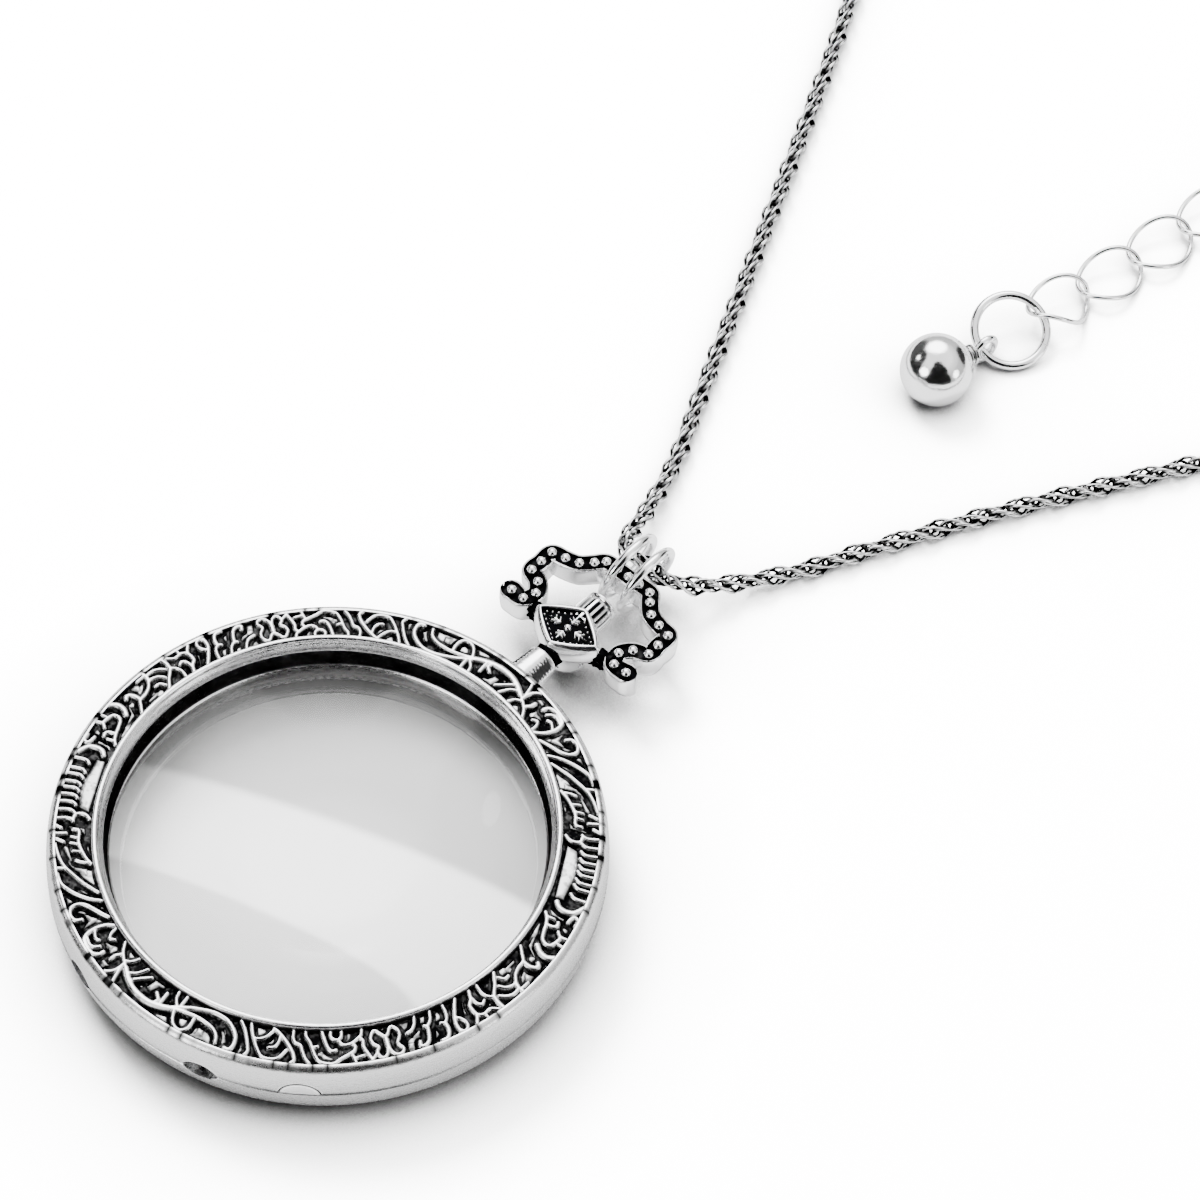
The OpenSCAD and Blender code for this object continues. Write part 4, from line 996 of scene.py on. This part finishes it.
def new_tree(name, sockets):
    """A Geometry Nodes tree with named inputs: the tree, each input's identifier and the inputs' outlets."""
    tree = bpy.data.node_groups.new(name, "GeometryNodeTree")
    for way in ("INPUT", "OUTPUT"):
        tree.interface.new_socket("Geometry", in_out=way, socket_type="NodeSocketGeometry")
    keys = {label: tree.interface.new_socket(label, in_out="INPUT", socket_type="NodeSocket" + kind).identifier
            for label, kind in sockets.items()}
    return tree, keys, node(tree, "NodeGroupInput").outputs


def end_tree(tree, points, instance, metal, **how):
    """Ends a tree: instances on points, made real and painted."""
    spots = node(tree, "GeometryNodeInstanceOnPoints", points, Instance=instance, **how)
    real = node(tree, "GeometryNodeRealizeInstances", spots)
    node(tree, "NodeGroupOutput", node(tree, "GeometryNodeSetMaterial", real, Material=metal))


def grow(name, points, edges, tree, keys, values, least):
    """An object of points and edges that becomes what a Geometry Nodes tree makes of it."""
    mesh = bpy.data.meshes.new(name)
    mesh.from_pydata(points, edges, [])
    obj = add_object(name, mesh)
    mod = obj.modifiers.new(name, "NODES")
    mod.node_group = tree
    for label, value in values.items():
        mod[keys[label]] = value
    settle(obj, least)
    return obj


def add_beads():
    """Round beads set along the arms' channel, one on each point of the path."""
    tree, keys, given = new_tree("arm_beads", {"Radius": "Float", "Rings": "Int", "Metal": "Material"})
    sphere = node(tree, "GeometryNodeMeshUVSphere", Segments=20, Rings=given["Rings"], Radius=given["Radius"])
    end_tree(tree, given["Geometry"], sphere, given["Metal"])
    places = [(AT_BOW @ Vector((x, s * y, BEAD_H))) * MM for x, y in ARM_BEADS for s in ((1, -1) if y else (1,))]
    values = {"Radius": BEAD_R * MM, "Rings": 12, "Metal": finish_of("bow")}
    finish_piece(grow("bow_beads", places, [], tree, keys, values, 100), "bow", ["bow"])


class PENDANT_OT_rings(bpy.types.Operator):
    """Jump rings, end ring, closing ring and clasp ring, each of round wire with its cut"""
    bl_idname = "pendant.rings"
    bl_label = "Rings"

    def execute(self, context):
        # place, radius of the ring and of its wire, and width and angle of the cut
        rings = {
            "jump_ring_left": (AT_BOW @ moved(37.7, 1.1, 4.8) @ turned(101.5, "X"), 3.075, 0.425, 0.02, -60),
            "jump_ring_right": (AT_BOW @ moved(37.7, -0.9, 4.7) @ turned(101.5, "X"), 3.075, 0.425, 0.02, -60),
            "end_ring": (AT_EXTENDER @ moved(9.05, 0.2, 1.95) @ turned(-11.5, "Y") @ turned(22, "X"),
                         3.27, 0.4, 0.035, -62),
            "closing_ring": (at_closing(0) @ moved(0, 0, 3.05) @ turned(90, "X"), 2.65, 0.35, 0.035, 120),
            "clasp_ring": (at_closing(CLOSING_TURN) @ moved(13.1, 0, 2.75) @ turned(90, "X"), 2.4, 0.3, 0.035, 100),
        }
        for name, (at, ring_r, wire_r, gap, gap_at) in rings.items():
            ring = Shape(*torus(ring_r, wire_r, gap=gap, gap_at=gap_at), 0.0, at)
            make_piece(name + "_wire", ring, "wire", [name])
        return {"FINISHED"}


class PENDANT_OT_extender(bpy.types.Operator):
    """Extender links and the ball drop with its ridged neck and eye"""
    bl_idname = "pendant.extender"
    bl_label = "Extender"

    def execute(self, context):
        for k in range(6):
            # the first link leans on the end ring
            twist, at = (27, moved(LINK_X + LINK_STEP * k - 0.05, 0, 1.2)) if k else (
                42, moved(LINK_X, 0, 1.85) @ turned(12, "Y"))
            path = link_path(LINK_LONG - LINK_WIRE, 5.3 - LINK_WIRE, twist, 72)
            link = Shape(*wire_loop(path, LINK_WIRE / 2, 14), 0.0, AT_EXTENDER @ at @ turned(12, "X"))
            make_piece(f"link_{k + 1}_wire", link, "wire", [f"link_{k + 1}"])
        make_piece("drop_ball", drop_shape(), "wire", ["ball_drop"], 50)
        return {"FINISHED"}


def link_path(long, wide, twist, steps):
    """Middle line of an oval link that is twisted from end to end."""
    a = full_turn(steps)
    turn = math.radians(twist) * np.cos(a)
    side = wide / 2 * np.sin(a)
    return np.stack([long / 2 * np.cos(a), side * np.cos(turn), side * np.sin(turn)], -1)


def wire_loop(path, r, sides):
    """Round wire along a closed ring of points."""
    d = np.roll(path, -1, 0) - np.roll(path, 1, 0)
    x = np.cross([0, 0, 1], d)
    x /= np.linalg.norm(x, axis=1)[:, None]
    y = np.cross(d, x)
    y /= np.linalg.norm(y, axis=1)[:, None]
    s = full_turn(sides)[None, :, None]
    return skin(path[:, None] + r * (np.cos(s) * x[:, None] + np.sin(s) * y[:, None]), closed=True)


def drop_shape():
    """The ball, its ridged neck and its eye."""
    r = 3.25
    shape = Shape(*ball((0, 0, r), r, 96, 60), 0.0, AT_EXTENDER)
    # place along the neck, radius and how black
    neck = [[r - 0.35, 0.9, 0], [r - 0.1, 0.86, 0.1], [r + 0.05, 0.8, 0.7], [3.2, 0.76, 0.6]]
    for h in (3.35, 3.85, 4.35):
        neck += [[h, 0.78, 0.9], [h + 0.04, 0.9, 0.2], [h + 0.16, 0.96, 0], [h + 0.28, 0.9, 0.2], [h + 0.33, 0.78, 0.9]]
    neck += [[4.8, 0.7, 0.3], [4.95, 0.4, 0.3]]
    at = (AT_EXTENDER @ moved(0, 0, r) @ turned(math.degrees(math.atan2(0.2, 6)), "Z")
          @ turned(math.degrees(math.atan((r - 1.55) / 6)), "Y"))
    shape.add(*lathe(*np.array(neck).T, 64, at))
    return shape.add(*torus(1.15, 0.35, 64), 0.0, AT_EXTENDER @ moved(6, 0.2, 1.55) @ turned(90, "X"))


class PENDANT_OT_rope(bpy.types.Operator):
    """Rope chain: small twisted oval links set close together along each strand's route"""
    bl_idname = "pendant.rope"
    bl_label = "Rope chain"

    def execute(self, context):
        p = context.scene.pendant_rope
        tree, keys = rope_tree()
        wire = p.wire / MM
        path = link_path(p.link_length / MM - wire, p.link_width / MM - wire, 37, 14)
        v, f = wire_loop(path, wire / 2, 6)
        # painted shade: black in the rope's core and on the wire's inner side, where the close-set links shade each
        # other
        middle = np.repeat(path, 6, axis=0)
        core = np.hypot(middle[:, 1], middle[:, 2])
        outwards = ((v - middle) * middle * [0, 1, 1]).sum(1) / np.maximum(core, 1e-6) / (wire / 2)
        black = np.maximum(np.clip((0.5 - core) / 0.2, 0, 1), np.clip((0.75 - outwards) / 0.4, 0, 1))
        link = add_object("rope_link", Shape(v, f, black))
        link.data.polygons.foreach_set("use_smooth", np.ones(len(link.data.polygons), bool))
        room = p.link_width / 2 + 0.00003
        low, high = np.array(CAD_BOX[0][:2]) + room, np.array(CAD_BOX[1][:2]) - room
        for side, route, pitch in (("left", LEFT_ROUTE, p.left_pitch), ("right", RIGHT_ROUTE, p.right_pitch)):
            line = np.array([(AT_BOW @ Vector(q)) * MM for q in smooth_path(route, 12)])
            line[:, :2] = np.clip(line[:, :2], low, high)
            values = {"Link": link, "Spacing": p.spacing, "Turn per link": TAU * p.spacing / pitch,
                      "Metal": finish_of("rope")}
            edges = [(i, i + 1) for i in range(len(line) - 1)]
            obj = grow("rope_" + side, line.tolist(), edges, tree, keys, values, 10000)
            finish_piece(obj, "rope", ["chain_" + side], 80)
        bpy.data.objects.remove(link)
        return {"FINISHED"}


def rope_tree():
    tree, keys, given = new_tree("rope_strand", {"Link": "Object", "Spacing": "Float", "Turn per link": "Float",
                                                 "Metal": "Material"})
    curve = node(tree, "GeometryNodeMeshToCurve", given["Geometry"])
    points = node(tree, "GeometryNodeCurveToPoints", mode="LENGTH", Curve=curve, Length=given["Spacing"])
    ahead = points.outputs["Tangent"]
    level = node(tree, "FunctionNodeAlignRotationToVector", axis="X", pivot_axis="Z", Vector=ahead)
    tip = node(tree, "FunctionNodeAlignRotationToVector", axis="X", pivot_axis="AUTO", Rotation=level, Vector=ahead)
    count = node(tree, "GeometryNodeInputIndex")
    turn = node(tree, "ShaderNodeMath", count, given["Turn per link"], operation="MULTIPLY")
    # every second link is narrower and stands a quarter turn on, which fills the rope's waists
    second = node(tree, "ShaderNodeMath", count, 2, operation="MODULO")
    quarter = node(tree, "ShaderNodeMath", second, math.pi / 2, turn, operation="MULTIPLY_ADD")
    slim = node(tree, "ShaderNodeMath", second, -0.32, 1, operation="MULTIPLY_ADD")
    roll = node(tree, "FunctionNodeAxisAngleToRotation", Axis=(1, 0, 0), Angle=quarter)
    both = node(tree, "FunctionNodeRotateRotation", rotation_space="LOCAL", Rotation=tip, Rotate_By=roll)
    link = node(tree, "GeometryNodeObjectInfo", Object=given["Link"]).outputs["Geometry"]
    end_tree(tree, points, link, given["Metal"], Rotation=both, Scale=node(tree, "ShaderNodeCombineXYZ", 1, slim, slim))
    return tree, keys


class PENDANT_OT_closing(bpy.types.Operator):
    """End caps of the rope and the lobster clasp"""
    bl_idname = "pendant.closing"
    bl_label = "Closing"

    def execute(self, context):
        # place along the cap, radius and how black
        sleeve = [[1.45, 0.5, 0], [1.48, 0.85, 0], [1.58, 1.06, 0], [1.75, 1.17, 0], [1.95, 1.2, 0], [2.3, 1.2, 0],
                  [2.36, 1.14, 0.9], [2.44, 1.14, 0.9], [2.5, 1.2, 0], [4.5, 1.2, 0], [4.56, 1.14, 0.9],
                  [4.64, 1.14, 0.9], [4.7, 1.2, 0], [5.2, 1.2, 0], [5.32, 1.18, 0], [5.4, 1.1, 0.2], [5.38, 0.95, 0.8],
                  [5.0, 0.9, 1]]
        for name, turn, x in (("cap_left", CLOSING_TURN, 15.1), ("cap_right", -CLOSING_TURN, 2.1)):
            at = at_closing(turn) @ moved(x, 0, CAP_Z)
            shape = Shape(*torus(1.5, 0.3, 72, 18), 0.0, at).add(*lathe(*np.array(sleeve).T, 64, at))
            make_piece(name + "_sleeve", shape, "wire", [name], 40)
        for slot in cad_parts["lobster_clasp"].material_slots:
            slot.material = finish_of("wire")
        return {"FINISHED"}


class PENDANT_OT_stage(bpy.types.Operator):
    """Pale floor, soft studio light and the camera at the photograph's angle"""
    bl_idname = "pendant.stage"
    bl_label = "Stage"

    def execute(self, context):
        p = context.scene.pendant_stage
        mesh = bpy.data.meshes.new("floor")
        half = 4.0
        corners = [(-half, -half, 0), (half, -half, 0), (half, half, 0), (-half, half, 0)]
        mesh.from_pydata(corners, [], [(0, 1, 2, 3)])
        floor = add_object("floor", mesh)
        # just below the part that lies on it
        floor.location.z = -0.00002
        mesh.materials.append(floor_paint(p))
        studio_world()
        lamp("key_light", (-0.3, 0.5, 0.75), 0.35, 90.0)
        lamp("top_light", (0.1, 0.0, 1.1), 1.0, 90.0)
        lamp("side_light", (0.7, -0.1, 0.6), 0.5, 25.0)
        add_camera(p.lens)
        return {"FINISHED"}


# Tone of the surroundings by height: place on the way up and tone
SKY = [(0.0, 0.7), (0.12, 0.9), (0.4, 1.0), (0.62, 1.6), (0.8, 2.2), (1.0, 2.0)]
# Dark and bright patches round the set: direction, where each begins to fade and ends in degrees, and tone
PATCHES = [
    ((-0.05, 0.6, 0.8), 14, 30, 9.0),
    ((-0.75, -0.65, 0.12), 22, 30, 0.08),
    ((0.08, -0.97, 0.15), 36, 42, 0.008),
    ((0.06, -0.8, 0.6), 26, 33, 0.008),
    ((0.02, -0.5, 0.86), 13, 19, 0.02),
    ((-0.97, 0.1, 0.22), 28, 36, 0.015),
    ((-0.7, 0.68, 0.22), 20, 32, 0.1),
    ((-0.8, 0.2, 0.57), 18, 26, 0.06),
    ((-0.68, -0.57, 0.46), 12, 14, 8.0),
    ((-0.83, 0.22, 0.51), 5, 7, 6.0),
    ((0.857, -0.446, 0.255), 8, 11, 7.0),
    ((0.85, 0.5, 0.12), 16, 24, 0.04),
]


def studio_world():
    """Pale surroundings, brighter overhead, with the round patches that the metal mirrors."""
    world = bpy.data.worlds.new("studio")
    bpy.context.scene.world = world
    world.use_nodes = True
    tree = world.node_tree
    tree.nodes.clear()
    way = node(tree, "ShaderNodeTexCoord").outputs["Generated"]
    height = node(tree, "ShaderNodeSeparateXYZ", way).outputs["Z"]
    shade = node(tree, "ShaderNodeValToRGB", height)
    ramp = shade.color_ramp
    ramp.interpolation = "EASE"
    for at, tone in SKY[1:-1]:
        ramp.elements.new(at)
    for stop, (at, tone) in zip(ramp.elements, SKY):
        stop.position, stop.color = at, (tone, tone, tone, 1)
    for direction, inner, outer, tone in PATCHES:
        near = node(tree, "ShaderNodeVectorMath", way, Vector(direction).normalized(), operation="DOT_PRODUCT")
        limits = math.cos(math.radians(outer)), math.cos(math.radians(inner))
        edge = spread(tree, near.outputs["Value"], *limits, 0.0, 1.0, interpolation_type="SMOOTHSTEP")
        shade = blend(tree, edge, shade, tone)
    light = node(tree, "ShaderNodeBackground", shade, 1.0)
    node(tree, "ShaderNodeOutputWorld", light)


def lamp(name, offset, size, power):
    """A square lamp at an offset in metres from the case, which shows in no reflection and through no glass."""
    data = bpy.data.lights.new(name, "AREA")
    data.shape, data.size, data.energy = "SQUARE", size, power
    obj = add_object(name, data)
    obj.location = Vector((CENTRE.x, CENTRE.y, 0)) * MM + Vector(offset)
    obj.rotation_euler = (-Vector(offset)).to_track_quat("-Z", "Y").to_euler()
    obj.visible_glossy = obj.visible_transmission = False


def add_camera(lens):
    """The camera as fitted to the photograph, in units of the groove's radius round the groove's centre."""
    pitch, roll = math.radians(53.469), math.radians(2.298)
    forward = Vector((0, math.cos(pitch), -math.sin(pitch)))
    right = Vector((1, 0, 0))
    up = right.cross(forward)
    right, up = (math.cos(roll) * right + math.sin(roll) * up, -math.sin(roll) * right + math.cos(roll) * up)
    shift = Vector((-1.15464, -0.96093, 17.9695)) * BAND_IN
    place = Vector((CENTRE.x, CENTRE.y, CASE_H)) - (right * shift.x + up * shift.y + forward * shift.z)
    data = bpy.data.cameras.new("photo_view")
    data.lens, data.sensor_width, data.clip_start, data.clip_end = lens, 36, 0.01, 20
    cam = add_object("photo_view", data)
    cam.matrix_world = Matrix.Translation(place * MM) @ Matrix((right, up, -forward)).transposed().to_4x4()
    bpy.context.scene.camera = cam


class PENDANT_PT_panel(bpy.types.Panel):
    """Sidebar panel with the pendant's settings and builders"""
    bl_label = "Magnifier Pendant"
    bl_idname = "PENDANT_PT_panel"
    bl_space_type = "VIEW_3D"
    bl_region_type = "UI"
    bl_category = "Pendant"

    def draw(self, context):
        layout = self.layout
        for group, names in SETTINGS:
            box = layout.box()
            for name in names:
                box.prop(getattr(context.scene, group), name)
        for op in BUILDERS:
            layout.operator(op.bl_idname)


SETTINGS = [
    ("pendant_silver", ["tone", "tarnish"]),
    ("pendant_case", ["around", "relief_steps", "relief_rows"]),
    ("pendant_rope", ["link_length", "link_width", "wire", "spacing", "left_pitch", "right_pitch"]),
    ("pendant_stage", ["floor_tone", "painted_reflection", "through", "lens"]),
]
BUILDERS = [PENDANT_OT_stage, PENDANT_OT_bezel, PENDANT_OT_back, PENDANT_OT_lens, PENDANT_OT_bow, PENDANT_OT_rings,
            PENDANT_OT_extender, PENDANT_OT_rope, PENDANT_OT_closing]
GROUPS = [("pendant_silver", PendantSilver), ("pendant_case", PendantCase), ("pendant_rope", PendantRope),
          ("pendant_stage", PendantStage)]


def register():
    for name, group in GROUPS:
        bpy.utils.register_class(group)
        setattr(bpy.types.Scene, name, PointerProperty(type=group))
    for op in BUILDERS:
        bpy.utils.register_class(op)
    bpy.utils.register_class(PENDANT_PT_panel)


def unregister():
    bpy.utils.unregister_class(PENDANT_PT_panel)
    for op in reversed(BUILDERS):
        bpy.utils.unregister_class(op)
    for name, group in reversed(GROUPS):
        delattr(bpy.types.Scene, name)
        bpy.utils.unregister_class(group)


def main():
    register()
    bpy.ops.pendant.stage()
    bpy.ops.pendant.bezel()
    bpy.ops.pendant.back()
    bpy.ops.pendant.lens()
    bpy.ops.pendant.bow()
    bpy.ops.pendant.rings()
    bpy.ops.pendant.extender()
    bpy.ops.pendant.rope()
    bpy.ops.pendant.closing()


if __name__ == "__main__":
    main()
